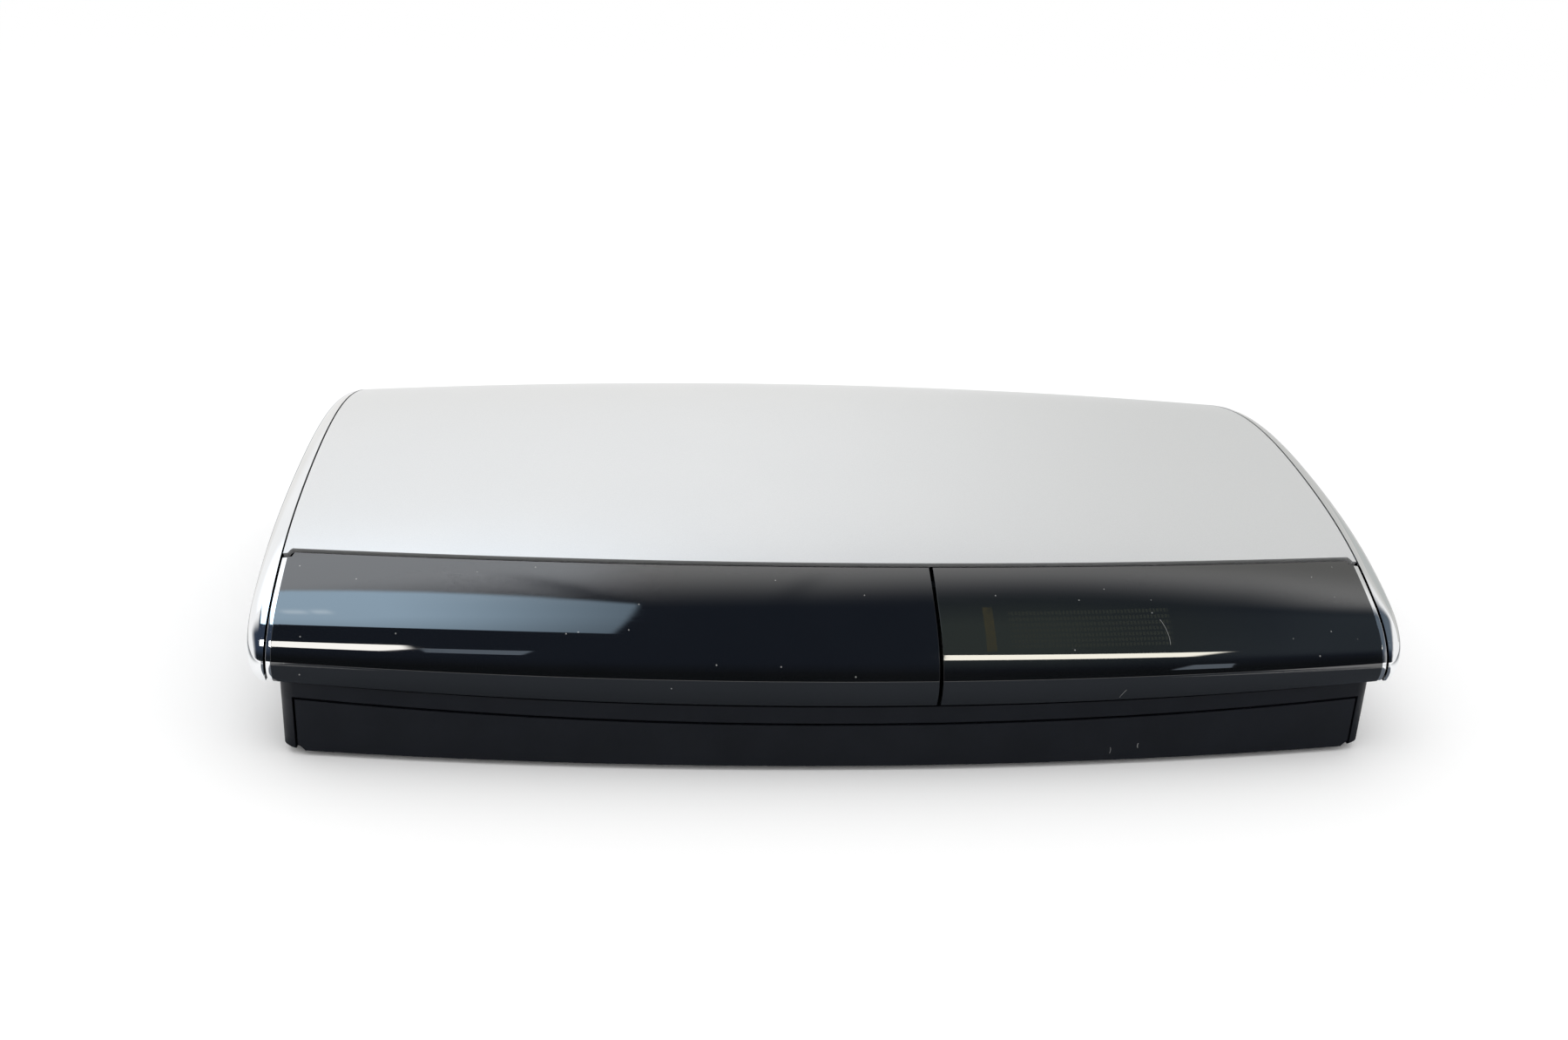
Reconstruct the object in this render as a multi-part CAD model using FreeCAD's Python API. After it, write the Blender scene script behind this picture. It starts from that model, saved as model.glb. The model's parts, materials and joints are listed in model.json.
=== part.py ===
import FreeCAD, Part
import math
import os

Vec = FreeCAD.Vector

# Overall size: +X to the right, +Y to the rear, +Z up, origin under the middle of the footprint
width = 396.0
depth = 265.0
height = 88.0

# Upper body: one rounded section that tapers towards both ends
waist_height = 42.5
front_bow = 12.7
crown_drop = 8.2
cap_reach = 7.0
profile_depth_shares = (1.0, 0.824, 0.621, 0.334, 0.130, 0.0694, 0.0242, 0.0, 0.0066)
profile_height_shares = (0.632, 0.8625, 1.0, 0.9177, 0.719, 0.618, 0.5137, 0.375, 0.2836)
station_shares = (-1.0, -0.75, -0.5, -0.25, 0.0, 0.25, 0.5, 0.75, 1.0)

# Walls, seams and clearances
cover_wall = 2.0
panel_wall = 3.0
base_wall = 2.5
end_wall = 2.0
seam = 0.6
cover_seam = 1.8
panel_seam = 1.3
lip_seam = 0.8
slide_gap = 0.3
run_gap = 0.06
cut = 2.0
near = 0.01

# Seams on the outside of the upper body
cover_front_setback = 34.5
cover_front_bow = 15.0
panel_split_gap = 44.5
strip_width = 1.8
tab_width = 2.2
tab_slope = 2.6
tab_out = 4.2

# Base under the upper body
foot_height = 2.0
base_side_inset = 2.5
base_front_setback = 2.4
base_front_bow = 13.6
rear_setback = 9.0
base_corner_radius = 6.0
base_edge_chamfer = 1.2
front_cover_inset = 5.5
front_cover_top = 17.2
front_cover_rise = 4.0
front_cover_depth = 3.0
groove = 0.9

# Disc drive
disc_radius = 61.0
tray_side_inset = 45.0
tray_width = 132.0
tray_setback = 20.5
tray_hold = 44.0
tray_floor_z = 36.0
tray_floor = 2.0
tray_rim = 3.0
tray_travel_share = 0.5283019
disc_front_margin = 11.0

# Boards and floor
board_thickness = 1.6
board_height = 12.0
screw_radius = 1.4
screw_head_radius = 2.7
screw_head_height = 1.7

# Levels and places shared by several pieces
front_y = -depth / 2.0
rear_y = depth / 2.0
base_bottom = foot_height
floor_top = base_bottom + base_wall
rear_panel_y = rear_y - rear_setback
skin_half_width = width / 2.0 - cap_reach
base_half_width = skin_half_width - base_side_inset
front_cover_half_width = base_half_width - front_cover_inset
tray_left = -skin_half_width + tray_side_inset
tray_right = tray_left + tray_width
tray_x = (tray_left + tray_right) / 2.0
tray_front_y = front_y + tray_setback
tray_rear_y = tray_front_y + tray_hold + tray_travel_share * depth
panel_split_x = tray_right + panel_split_gap
tray_top = tray_floor_z + tray_floor + tray_rim
disc_y = tray_front_y + disc_front_margin + disc_radius
board_top = board_height + board_thickness


def box(x0, x1, y0, y1, z0, z1):
    """A block between two corners."""
    return Part.makeBox(x1 - x0, y1 - y0, z1 - z0, Vec(x0, y0, z0))


def rod(radius, x, y, z0, z1):
    """An upright round bar."""
    return Part.makeCylinder(radius, z1 - z0, Vec(x, y, z0))


def bar_y(radius, x, y0, y1, z):
    """A round bar along Y."""
    return Part.makeCylinder(radius, y1 - y0, Vec(x, y0, z), Vec(0, 1, 0))


def prism_z(points, z0, z1):
    """An upright prism over a plan outline."""
    outline = Part.makePolygon([Vec(x, y, z0) for x, y in points + points[:1]])
    return Part.Face(outline).extrude(Vec(0, 0, z1 - z0))


def fuse(shapes):
    """One solid from touching or overlapping pieces, with split faces joined."""
    whole = shapes[0]
    for other in shapes[1:]:
        whole = whole.fuse(other)
    return whole.removeSplitter()


def drill(shape, cutters):
    """A shape with every cutter taken out."""
    for cutter in cutters:
        shape = shape.cut(cutter)
    return shape


def save(name, shape):
    """Write one piece, or a group of equal pieces, under its node name."""
    shape.exportStep("parts/" + name + ".step")


# Upper body section

def end_share(x):
    """How far a station lies towards the ends, squared, so that the taper is round."""
    return (x / skin_half_width) ** 2


def place(x, y, z):
    """A point of the middle section moved to its place on the section at x."""
    along = 1.0 - front_bow / depth * end_share(x)
    upright = 1.0 - crown_drop / (height - waist_height) * end_share(x)
    return Vec(x, rear_y + (y - rear_y) * along, waist_height + (z - waist_height) * upright)


def profile_points(inset):
    """The middle section's points from the rear edge over the top to the front lip."""
    shares = zip(profile_depth_shares, profile_height_shares)
    points = [Vec(0, front_y + d * depth, h * height) for d, h in shares]
    curve = Part.BSplineCurve()
    curve.interpolate(points)
    moved = []
    for point in points:
        along = curve.tangent(curve.parameter(point))[0]
        moved.append(point + Vec(0, -along.z, along.y) * inset)
    along = curve.tangent(curve.parameter(points[0]))[0]
    moved[0] += along * ((rear_y - inset - moved[0].y) / along.y)
    return moved


def section_wire(x, inset, tail):
    """A closed section at x, let down by tail below its front lip and its rear edge."""
    points = [place(x, p.y, p.z) for p in profile_points(inset)]
    curve = Part.BSplineCurve()
    curve.interpolate(points)
    floor = min(points[-1].z, points[0].z) - tail
    front_low = Vec(x, points[-1].y, floor)
    rear_low = Vec(x, points[0].y, floor)
    edges = [curve.toShape()]
    if tail > 0.0:
        edges.append(Part.makeLine(points[-1], front_low))
    edges.append(Part.makeLine(front_low, rear_low))
    edges.append(Part.makeLine(rear_low, points[0]))
    return Part.Wire(edges)


def upper_form(half_width, inset, tail):
    """The solid inside the tapered section, between two ends."""
    wires = [section_wire(share * half_width, inset, tail) for share in station_shares]
    return Part.makeLoft(wires, True, False)


def bow_radius(bow):
    """Radius of a front that falls back by bow at the ends of the skin."""
    return (skin_half_width ** 2 + bow ** 2) / (2.0 * bow)


def behind_front(y, bow, z0, z1, offset):
    """Everything behind a bowed upright front that is furthest forward at y."""
    radius = bow_radius(bow)
    return Part.makeCylinder(radius + offset, z1 - z0, Vec(0, y + radius, z0))


def smile(low, rise, z_gap):
    """Everything above a line that climbs by rise from the middle to the ends of the skin."""
    radius = bow_radius(rise)
    start = Vec(0, front_y - cut, low + z_gap + radius)
    return Part.makeCylinder(radius, depth + cut + cut, start, Vec(0, 1, 0))


# Case shells

lip_z = profile_height_shares[-1] * height
lip_rise = (waist_height - lip_z) * crown_drop / (height - waist_height)
cover_rear_lip = 5.5
cover_post_radius = 3.6
cover_post_inset = 13.0
cover_post_front_setback = 56.5
cover_post_rear_setback = 20.5
bond_gap = 0.05
rear_edge_z = profile_height_shares[0] * height
cover_front_y = front_y + cover_front_setback
form_tail = lip_z - base_bottom
cap_bulge = cap_reach - seam
cap_round = 7.5
cap_turns = (0.0, 28.0, 52.0, 72.0, 90.0)


def skin(wall):
    """The upper body's open shell of one wall thickness, down to its lip."""
    solid = upper_form(skin_half_width, 0.0, 0.0)
    return solid.cut(upper_form(skin_half_width + cut, wall, form_tail))


def cover_posts():
    """The places of the four screw posts under the cover."""
    x = skin_half_width - cover_post_inset
    ys = (front_y + cover_post_front_setback, rear_y - cover_post_rear_setback)
    return [(side, y) for side in (-x, x) for y in ys]


def behind_cover_edge(gap):
    """Everything behind the cover's bowed front edge and its two corner tabs, drawn out by gap."""
    top = height + cut
    edge_y = cover_front_y + cover_front_bow
    region = behind_front(cover_front_y, cover_front_bow, 0.0, top, gap)
    for side in (-1.0, 1.0):
        outer = side * (skin_half_width + cut)
        tip = side * (skin_half_width - tab_width - gap)
        root = side * (skin_half_width - tab_width - tab_slope - gap)
        tip_y = edge_y - tab_out - gap
        tab = prism_z([(outer, edge_y), (outer, tip_y), (tip, tip_y), (root, edge_y)], 0.0, top)
        region = region.fuse(tab)
    return region


def top_cover():
    """The silver cover with its corner tabs, its rear lip and four hanging screw posts."""
    behind = behind_cover_edge(0.0)
    reach = skin_half_width + cut
    above = box(-reach, reach, front_y - cut, rear_y + cut, rear_edge_z - cover_rear_lip, height + cut)
    shell = skin(cover_wall).common(behind).common(above)
    inside = upper_form(skin_half_width, cover_wall / 2.0, form_tail)
    posts = [rod(cover_post_radius, x, y, floor_top, height).common(inside) for x, y in cover_posts()]
    pilots = [rod(screw_radius + run_gap, x, y, base_bottom, floor_top + case_screw_bite + run_gap)
              for x, y in cover_posts()]
    return drill(fuse([shell] + posts), pilots)


def front_shell():
    """The part of the upper body in front of the cover's edge."""
    return skin(panel_wall).cut(behind_cover_edge(cover_seam))


def front_span(x0, x1):
    """A slice of the front shell between two places along the width."""
    return front_shell().common(box(x0, x1, front_y - cut, rear_y / 2.0, 0.0, height))


def cap_section(x, inset):
    """A closed end section drawn in evenly by inset."""
    half_deep = depth / 2.0
    half_tall = (height - lip_z) / 2.0
    middle_z = lip_z + half_tall
    points = []
    for p in profile_points(0.0):
        y = p.y * (1.0 - inset / half_deep)
        z = middle_z + (p.z - middle_z) * (1.0 - inset / half_tall)
        points.append(place(skin_half_width, y, z))
    points = [Vec(x, p.y, p.z) for p in points]
    curve = Part.BSplineCurve()
    curve.interpolate(points)
    low_rear = Vec(x, points[0].y, points[-1].z)
    edges = [curve.toShape(), Part.makeLine(points[-1], low_rear), Part.makeLine(low_rear, points[0])]
    return Part.Wire(edges)


def end_cap(side):
    """A rounded hollow end cap."""
    start = skin_half_width + seam
    outer = []
    inner = [cap_section(side * (start - cut), end_wall)]
    for turn in cap_turns:
        out = cap_bulge * math.sin(math.radians(turn))
        drawn = cap_round * (1.0 - math.cos(math.radians(turn)))
        outer.append(cap_section(side * (start + out), drawn))
        inner.append(cap_section(side * (start + out * (1.0 - end_wall / cap_bulge)), drawn + end_wall))
    return Part.makeLoft(outer, True, False).cut(Part.makeLoft(inner, True, True))


# Base

base_front_y = front_y + base_front_setback
base_front_wall = 6.0
base_top_z = lip_z - lip_seam
foot_radius = 9.0
foot_inset = 28.5
foot_front_setback = 36.5
case_screw_bite = 9.0
board_boss_radius = 3.4
drive_boss_radius = 4.5


def base_plan(inset, front_inset, z0, z1):
    """A block with the base's bowed plan."""
    half = base_half_width - inset
    block = box(-half, half, front_y - cut, rear_panel_y - inset, z0, z1)
    return block.common(behind_front(base_front_y, base_front_bow, z0, z1, -front_inset))


def base_tray():
    """The black tub that carries everything, with a shallow bay for its front cover."""
    tall = waist_height
    block = base_plan(0.0, 0.0, base_bottom, tall)
    upright = [e for e in block.Edges if e.BoundBox.ZLength > tall - base_bottom - near]
    block = block.makeFillet(base_corner_radius, upright)
    lower = [e for e in block.Edges if abs(e.BoundBox.ZMax - base_bottom) < near]
    block = block.makeChamfer(base_edge_chamfer, lower)
    block = block.cut(smile(base_top_z, lip_rise, 0.0))
    block = block.cut(base_plan(base_wall, base_front_wall, floor_top, tall))
    half = front_cover_half_width + groove
    bay = box(-half, half, front_y - cut, 0.0, base_bottom - cut, tall)
    bay = bay.cut(behind_front(base_front_y, base_front_bow, base_bottom - cut, tall, -front_cover_depth))
    bay = bay.cut(smile(front_cover_top, front_cover_rise, groove))
    bosses = [rod(board_boss_radius, x, y, floor_top, board_height) for x, y in board_screw_places()]
    bosses += [rod(drive_boss_radius, x, y, floor_top, bush_z) for x, y in drive_ear_places()]
    holes = []
    for x, y in cover_posts():
        holes.append(rod(screw_radius + run_gap, x, y, 0.0, floor_top + cut))
        holes.append(rod(screw_head_radius + slide_gap, x, y, 0.0, base_bottom + screw_head_height))
    for x, y in board_screw_places():
        holes.append(rod(screw_radius + run_gap, x, y, board_height - board_screw_bite, board_height + cut))
    for x, y in drive_ear_places():
        holes.append(rod(screw_radius + run_gap, x, y, bush_z - drive_screw_bite, bush_z + cut))
    return drill(fuse([block.cut(bay)] + bosses), holes)


def base_front_cover():
    """The long bowed cover in the base's front bay, with cut lower corners."""
    half = front_cover_half_width
    corner = base_edge_chamfer + base_edge_chamfer
    low = base_bottom
    tall = waist_height
    front = box(-half, half, front_y - cut, 0.0, low, tall)
    plan = behind_front(base_front_y, base_front_bow, low, tall, 0.0)
    back = behind_front(base_front_y, base_front_bow, low - cut, tall, -front_cover_depth)
    slab = front.common(plan).cut(back).cut(smile(front_cover_top, front_cover_rise, 0.0))
    for side in (-1.0, 1.0):
        tip = side * half
        points = [Vec(tip, front_y, low), Vec(tip, front_y, low + corner)]
        points.append(Vec(tip - side * corner, front_y, low))
        wedge = Part.Face(Part.makePolygon(points + points[:1])).extrude(Vec(0, depth / 2.0, 0))
        slab = slab.cut(wedge)
    return slab


def rubber_feet():
    """Four round feet under the base."""
    x = base_half_width - foot_inset
    ys = (front_y + foot_front_setback, rear_y - foot_inset)
    places = [(side, y) for side in (-x, x) for y in ys]
    return Part.makeCompound([rod(foot_radius, x, y, 0.0, base_bottom) for x, y in places])


def screw_up(x, y, head_z, bite_z):
    """A screw put in from below: head under, shank up to bite_z."""
    head = rod(screw_head_radius, x, y, head_z, head_z + screw_head_height)
    return head.fuse(rod(screw_radius, x, y, head_z + screw_head_height, bite_z)).removeSplitter()


def screw_down(x, y, seat_z, bite_z):
    """A screw put in from above: head on seat_z, shank down to bite_z."""
    head = rod(screw_head_radius, x, y, seat_z, seat_z + screw_head_height)
    return head.fuse(rod(screw_radius, x, y, bite_z, seat_z)).removeSplitter()


def case_screws():
    """The screws from below into the cover's posts."""
    top = floor_top + case_screw_bite
    return Part.makeCompound([screw_up(x, y, base_bottom, top) for x, y in cover_posts()])


# Inner fascia, buttons and display

fascia_wall = 2.5
fascia_setback = 30.0
fascia_side_inset = 7.0
fascia_gap = 1.0
doorway_gap = 1.5
button_names = ("button_power", "button_open", "button_source", "button_stop", "button_play", "button_next")
button_columns = 3
button_side_gap = 17.0
button_pitch_x = 9.6
button_low_share = 0.4090909
button_pitch_share = 0.1079545
button_width = 7.0
button_tall = 4.6
button_out = 2.4
button_travel = 0.8
button_flange = 0.8
button_round = 0.7
switch_size = 5.0
switch_deep = 1.5
switch_gap = 0.25
key_board_margin = 5.0
display_side_gap = 31.5
display_end_gap = 19.0
display_low_share = 0.3522727
display_top_share = 0.5454545
tube_thickness = 5.0
tube_margin = 4.0
tube_chamfer = 0.8
receiver_radius = 3.0
receiver_deep = 4.0
receiver_gap = 17.5
nose_share = 0.8
fascia_y = front_y + fascia_setback
fascia_back = fascia_y + fascia_wall
display_x0 = panel_split_x + display_side_gap
display_x1 = skin_half_width - display_end_gap
display_z0 = display_low_share * height
display_z1 = display_top_share * height
receiver_x = panel_split_x + receiver_gap


def button_places():
    """Each button's name and the middle of its face."""
    places = []
    for index, name in enumerate(button_names):
        x = tray_right + button_side_gap + button_pitch_x * (index % button_columns)
        z = height * (button_low_share + button_pitch_share * (index // button_columns))
        places.append((name, x, z))
    return places


def inner_fascia():
    """The black wall behind the smoked panels, with the tray's doorway and the button holes."""
    half = skin_half_width - fascia_side_inset
    wall = box(-half, half, fascia_y, fascia_back, floor_top, height)
    wall = wall.common(upper_form(skin_half_width, panel_wall + fascia_gap, form_tail))
    low = rack_bottom - doorway_gap
    door = box(tray_left - doorway_gap, tray_right + doorway_gap, fascia_y - cut, fascia_back + cut,
               low, tray_top + doorway_gap)
    holes = [door]
    for _, x, z in button_places():
        wide = button_width / 2.0 + slide_gap
        tall = button_tall / 2.0 + slide_gap
        holes.append(box(x - wide, x + wide, fascia_y - cut, fascia_back + cut, z - tall, z + tall))
    return drill(wall, holes)


def button(x, z):
    """A key cap through the fascia, kept in by a flange behind it."""
    half = button_width / 2.0
    tall = button_tall / 2.0
    rim = button_flange + slide_gap
    back = fascia_back + slide_gap
    cap = box(x - half, x + half, fascia_y - button_out, back, z - tall, z + tall)
    front = [e for e in cap.Edges if e.BoundBox.YMax < fascia_y]
    cap = cap.makeFillet(button_round, front)
    flange = box(x - half - rim, x + half + rim, back, back + button_flange, z - tall - rim, z + tall + rim)
    return fuse([cap, flange])


switch_y = fascia_back + slide_gap + button_flange + button_travel + switch_gap
key_board_y = switch_y + switch_deep


def button_board():
    """The key board behind the fascia, with one switch behind each button."""
    _, xs, zs = zip(*button_places())
    edge = button_width / 2.0 + key_board_margin
    board = box(min(xs) - edge, max(xs) + edge, key_board_y, key_board_y + board_thickness,
                min(zs) - edge, max(zs) + edge)
    half = switch_size / 2.0
    switches = [box(x - half, x + half, switch_y, key_board_y, z - half, z + half) for x, z in zip(xs, zs)]
    wide = key_board_margin / 2.0
    spacers = [box(x, x + wide, fascia_back, key_board_y, min(zs) - edge, max(zs) + edge)
               for x in (min(xs) - edge, max(xs) + edge - wide)]
    return fuse([board] + switches + spacers)


def display_board():
    """The board on the fascia's face that carries the display."""
    return box(display_x0 - tube_margin, display_x1 + tube_margin, fascia_y - board_thickness, fascia_y,
               display_z0 - tube_margin, display_z1)


def display_tube():
    """The flat glass display in front of its board."""
    back = fascia_y - board_thickness
    front = back - tube_thickness
    tube = box(display_x0, display_x1, front, back, display_z0, display_z1 - tube_margin / 2.0)
    return tube.makeChamfer(tube_chamfer, [e for e in tube.Edges if e.BoundBox.YMax < front + near])


def ir_receiver():
    """The remote control receiver, a round-nosed block on the fascia."""
    z = (display_z0 + display_z1) / 2.0
    front = fascia_y - receiver_deep
    body = box(receiver_x - receiver_radius, receiver_x + receiver_radius, front, fascia_y,
               z - receiver_radius, z + receiver_radius)
    nose = Part.makeSphere(receiver_radius * nose_share, Vec(receiver_x, front, z))
    return fuse([body, nose])


# Disc drive

chassis_z = 22.0
chassis_floor = 2.0
chassis_wall = 2.5
chassis_side = 2.5
chassis_setback = 34.5
chassis_tail = 6.0
ledge = 4.0
ledge_tall = 2.2
keeper = 3.0
keeper_tall = 1.6
well_half_width = 48.0
well_front = 24.0
well_rear = 66.0
ear_inset_x = 9.0
ear_inset_y = 10.0
bush_height = 2.5
bush_radius = 5.0
bush_z = chassis_z - bush_height
drive_screw_bite = 8.0
slot_half_width = 22.0
tray_corner = 5.0
disc_clearance = 0.6
rack_tall = 3.0
rack_wide = 4.0
rack_inset = 10.0
tooth_module = 1.0
tooth_out = 0.62
tooth_in = 0.95
tooth_root_half = 0.62
tooth_tip_half = 0.34
tray_gear_teeth = 16
tray_wheel_teeth = 28
pulley_pinion_teeth = 12
gear_setback = 48.5
gear_thick = 2.6
gear_gap = 0.5
axle_radius = 1.5
pulley_radius = 9.0
motor_pulley_radius = 4.5
belt_thick = 0.9
belt_tall = 1.4
belt_gap = 0.3
motor_reach = 27.0
motor_radius = 10.0
motor_length = 13.0
motor_shaft_radius = 1.0
hub_bore_gap = 0.03
gear_y = front_y + gear_setback
chassis_front_y = front_y + chassis_setback
chassis_rear_y = tray_rear_y + chassis_tail
rack_bottom = tray_floor_z - rack_tall
wall_left = tray_left - chassis_side - chassis_wall
wall_right = tray_right + chassis_side + chassis_wall
chassis_top = chassis_z + chassis_floor


def drive_ear_places():
    """The four places where the drive stands on its rubber bushes."""
    xs = (wall_left + ear_inset_x, wall_right - ear_inset_x)
    ys = (chassis_front_y + ear_inset_y, chassis_rear_y - ear_inset_y)
    return [(x, y) for x in xs for y in ys]


def pitch_radius(teeth):
    """A gear's pitch radius."""
    return teeth * tooth_module / 2.0


rack_x = tray_right - rack_inset
tray_gear_x = rack_x - tooth_in - pitch_radius(tray_gear_teeth)
pulley_gear_x = tray_gear_x - pitch_radius(tray_wheel_teeth) - pitch_radius(pulley_pinion_teeth)
motor_x = pulley_gear_x - motor_reach
pulley_z = chassis_top + gear_gap
wheel_z = pulley_z + gear_thick + gear_gap
pinion_top = tray_floor_z - gear_gap


def gear(teeth, x, y, z0, z1, first_angle):
    """A spur gear whose first tooth points along first_angle."""
    root = pitch_radius(teeth) - tooth_in
    tip = pitch_radius(teeth) + tooth_out
    points = []
    for index in range(teeth):
        angle = first_angle + 2.0 * math.pi * index / teeth
        along = Vec(math.cos(angle), math.sin(angle), 0)
        across = Vec(-along.y, along.x, 0)
        for radius, half in ((root, -tooth_root_half), (tip, -tooth_tip_half),
                             (tip, tooth_tip_half), (root, tooth_root_half)):
            spot = along * radius + across * half
            points.append((x + spot.x, y + spot.y))
    return prism_z(points, z0, z1)


def rack(root_x, back_x, y0, y1, gap_y, z0, z1):
    """A toothed strip along Y with teeth towards the left and a tooth gap at gap_y."""
    pitch = math.pi * tooth_module
    tooth_count = int((y1 - y0) / pitch) - 1
    first = gap_y + pitch / 2.0 - pitch * int((gap_y - y0) / pitch)
    tip_x = root_x - tooth_in - tooth_out
    points = [(back_x, y0), (back_x, y1), (root_x, y1)]
    for index in reversed(range(tooth_count)):
        middle = first + pitch * index
        points.append((root_x, middle + tooth_root_half))
        points.append((tip_x, middle + tooth_tip_half))
        points.append((tip_x, middle - tooth_tip_half))
        points.append((root_x, middle - tooth_root_half))
    points.append((root_x, y0))
    return prism_z(points, z0, z1)


def disc_tray():
    """The tray: a round disc recess, a slot open to the rear and a rack underneath."""
    tray = box(tray_left, tray_right, tray_front_y, tray_rear_y, tray_floor_z, tray_top)
    upright = [e for e in tray.Edges if e.BoundBox.ZLength > tray_top - tray_floor_z - near]
    tray = tray.makeFillet(tray_corner, upright)
    recess = rod(disc_radius + disc_clearance, tray_x, disc_y, tray_floor_z + tray_floor, tray_top + cut)
    rear = box(tray_left + tray_corner, tray_right - tray_corner, disc_y, tray_rear_y + cut,
               tray_floor_z + tray_floor, tray_top + cut)
    slot = fuse([rod(slot_half_width, tray_x, disc_y, tray_floor_z - cut, tray_top + cut),
                 box(tray_x - slot_half_width, tray_x + slot_half_width, disc_y, tray_rear_y + cut,
                     tray_floor_z - cut, tray_top + cut)])
    finger = box(tray_x - slot_half_width, tray_x + slot_half_width, tray_front_y - cut, disc_y,
                 tray_top - tray_rim / 2.0, tray_top + cut)
    front_rim = box(tray_left, tray_right, tray_front_y - cut, tray_front_y + disc_front_margin / 2.0,
                    tray_floor_z, tray_top + cut)
    finger = finger.cut(front_rim)
    body = drill(tray, [recess, rear, slot, finger])
    teeth = rack(rack_x, rack_x + rack_wide, tray_front_y + disc_front_margin, tray_rear_y - tray_corner,
                 gear_y, rack_bottom, tray_floor_z)
    return fuse([body, teeth])


bracket_half_width = 60.0
bracket_z0 = tray_floor_z + bond_gap
bracket_z1 = tray_top - bond_gap
bracket_wall = 2.0


def drawer_bracket():
    """The carrier that holds the left panel on the front of the tray."""
    block = box(tray_x - bracket_half_width, tray_x + bracket_half_width, front_y, tray_front_y,
                bracket_z0, bracket_z1)
    hollow = box(tray_x - bracket_half_width + bracket_wall, tray_x + bracket_half_width - bracket_wall,
                 front_y - cut, tray_front_y - bracket_wall, bracket_z0 + bracket_wall, bracket_z1 + cut)
    return block.common(upper_form(skin_half_width, panel_wall + bond_gap, form_tail)).cut(hollow)


def drive_chassis():
    """The drive's frame: floor with a well, side walls, ledges under the tray and keepers above it."""
    base = box(wall_left, wall_right, chassis_front_y, chassis_rear_y, chassis_z, chassis_top)
    pieces = [base]
    wall_top = tray_top + slide_gap + keeper_tall
    for outer, inner in ((wall_left, tray_left), (wall_right, tray_right)):
        side = 1.0 if inner > outer else -1.0
        x0, x1 = sorted((outer, outer + side * chassis_wall))
        pieces.append(box(x0, x1, chassis_front_y, chassis_rear_y, chassis_z, wall_top))
        x0, x1 = sorted((outer, inner + side * ledge))
        low = tray_floor_z - slide_gap - ledge_tall
        pieces.append(box(x0, x1, chassis_front_y, chassis_rear_y, low, low + ledge_tall))
        x0, x1 = sorted((outer, inner + side * keeper))
        pieces.append(box(x0, x1, chassis_front_y, chassis_rear_y, tray_top + slide_gap, wall_top))
    for x, z1 in ((tray_gear_x, pinion_top), (pulley_gear_x, wheel_z + gear_thick)):
        pieces.append(rod(axle_radius, x, gear_y, chassis_z, z1))
    well = box(tray_x - well_half_width, tray_x + well_half_width, disc_y - well_front, disc_y + well_rear,
               chassis_z - cut, chassis_top + cut)
    holes = [well, rod(motor_pulley_radius, motor_x, gear_y, chassis_z - cut, chassis_top + cut)]
    for x, y in drive_ear_places():
        holes.append(rod(screw_radius + run_gap, x, y, chassis_z - cut, chassis_top + cut))
    return drill(fuse(pieces), holes)


def tray_gear():
    """The gear that drives the tray's rack, with its larger wheel below."""
    pinion = gear(tray_gear_teeth, tray_gear_x, gear_y, wheel_z + gear_thick, pinion_top, 0.0)
    wheel = gear(tray_wheel_teeth, tray_gear_x, gear_y, wheel_z, wheel_z + gear_thick, math.pi)
    foot = rod(axle_radius + axle_radius, tray_gear_x, gear_y, chassis_top + gear_gap / 2.0, wheel_z)
    bore = rod(axle_radius + hub_bore_gap, tray_gear_x, gear_y, chassis_z, tray_top)
    return fuse([pinion, wheel, foot]).cut(bore)


def grooved_wheel(radius, x, z0):
    """A belt wheel with a groove as deep as its belt."""
    wheel = rod(radius + belt_thick, x, gear_y, z0, z0 + gear_thick)
    middle = z0 + gear_thick / 2.0
    half = belt_tall / 2.0 + belt_gap
    ring = rod(radius + belt_thick + cut, x, gear_y, middle - half, middle + half)
    return wheel.cut(ring.cut(rod(radius - belt_gap, x, gear_y, middle - half, middle + half)))


def pulley_gear():
    """The belt wheel with the small gear that turns the tray gear."""
    half_tooth = math.pi / pulley_pinion_teeth
    low = pulley_z + gear_thick
    pinion = gear(pulley_pinion_teeth, pulley_gear_x, gear_y, low, wheel_z + gear_thick, half_tooth)
    bore = rod(axle_radius + hub_bore_gap, pulley_gear_x, gear_y, chassis_z, tray_top)
    return fuse([grooved_wheel(pulley_radius, pulley_gear_x, pulley_z), pinion]).cut(bore)


def motor_pulley():
    """The small belt wheel on the loading motor's shaft."""
    wheel = grooved_wheel(motor_pulley_radius - belt_thick, motor_x, pulley_z)
    return wheel.cut(rod(motor_shaft_radius + hub_bore_gap, motor_x, gear_y, chassis_z, tray_top))


def belt_loop(grow):
    """The plan of the belt drawn out by grow around both belt wheels."""
    small = motor_pulley_radius - belt_thick + grow
    large = pulley_radius + grow
    lean = math.acos((large - small) / motor_reach)
    points = []
    for side in (1.0, -1.0):
        points.append([Vec(x + r * -math.cos(lean), gear_y + side * r * math.sin(lean), 0)
                       for x, r in ((motor_x, small), (pulley_gear_x, large))])
    (upper_small, upper_large), (lower_small, lower_large) = points
    edges = [Part.makeLine(upper_small, upper_large)]
    edges.append(Part.Arc(upper_large, Vec(pulley_gear_x + large, gear_y, 0), lower_large).toShape())
    edges.append(Part.makeLine(lower_large, lower_small))
    edges.append(Part.Arc(lower_small, Vec(motor_x - small, gear_y, 0), upper_small).toShape())
    return Part.Face(Part.Wire(edges))


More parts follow.
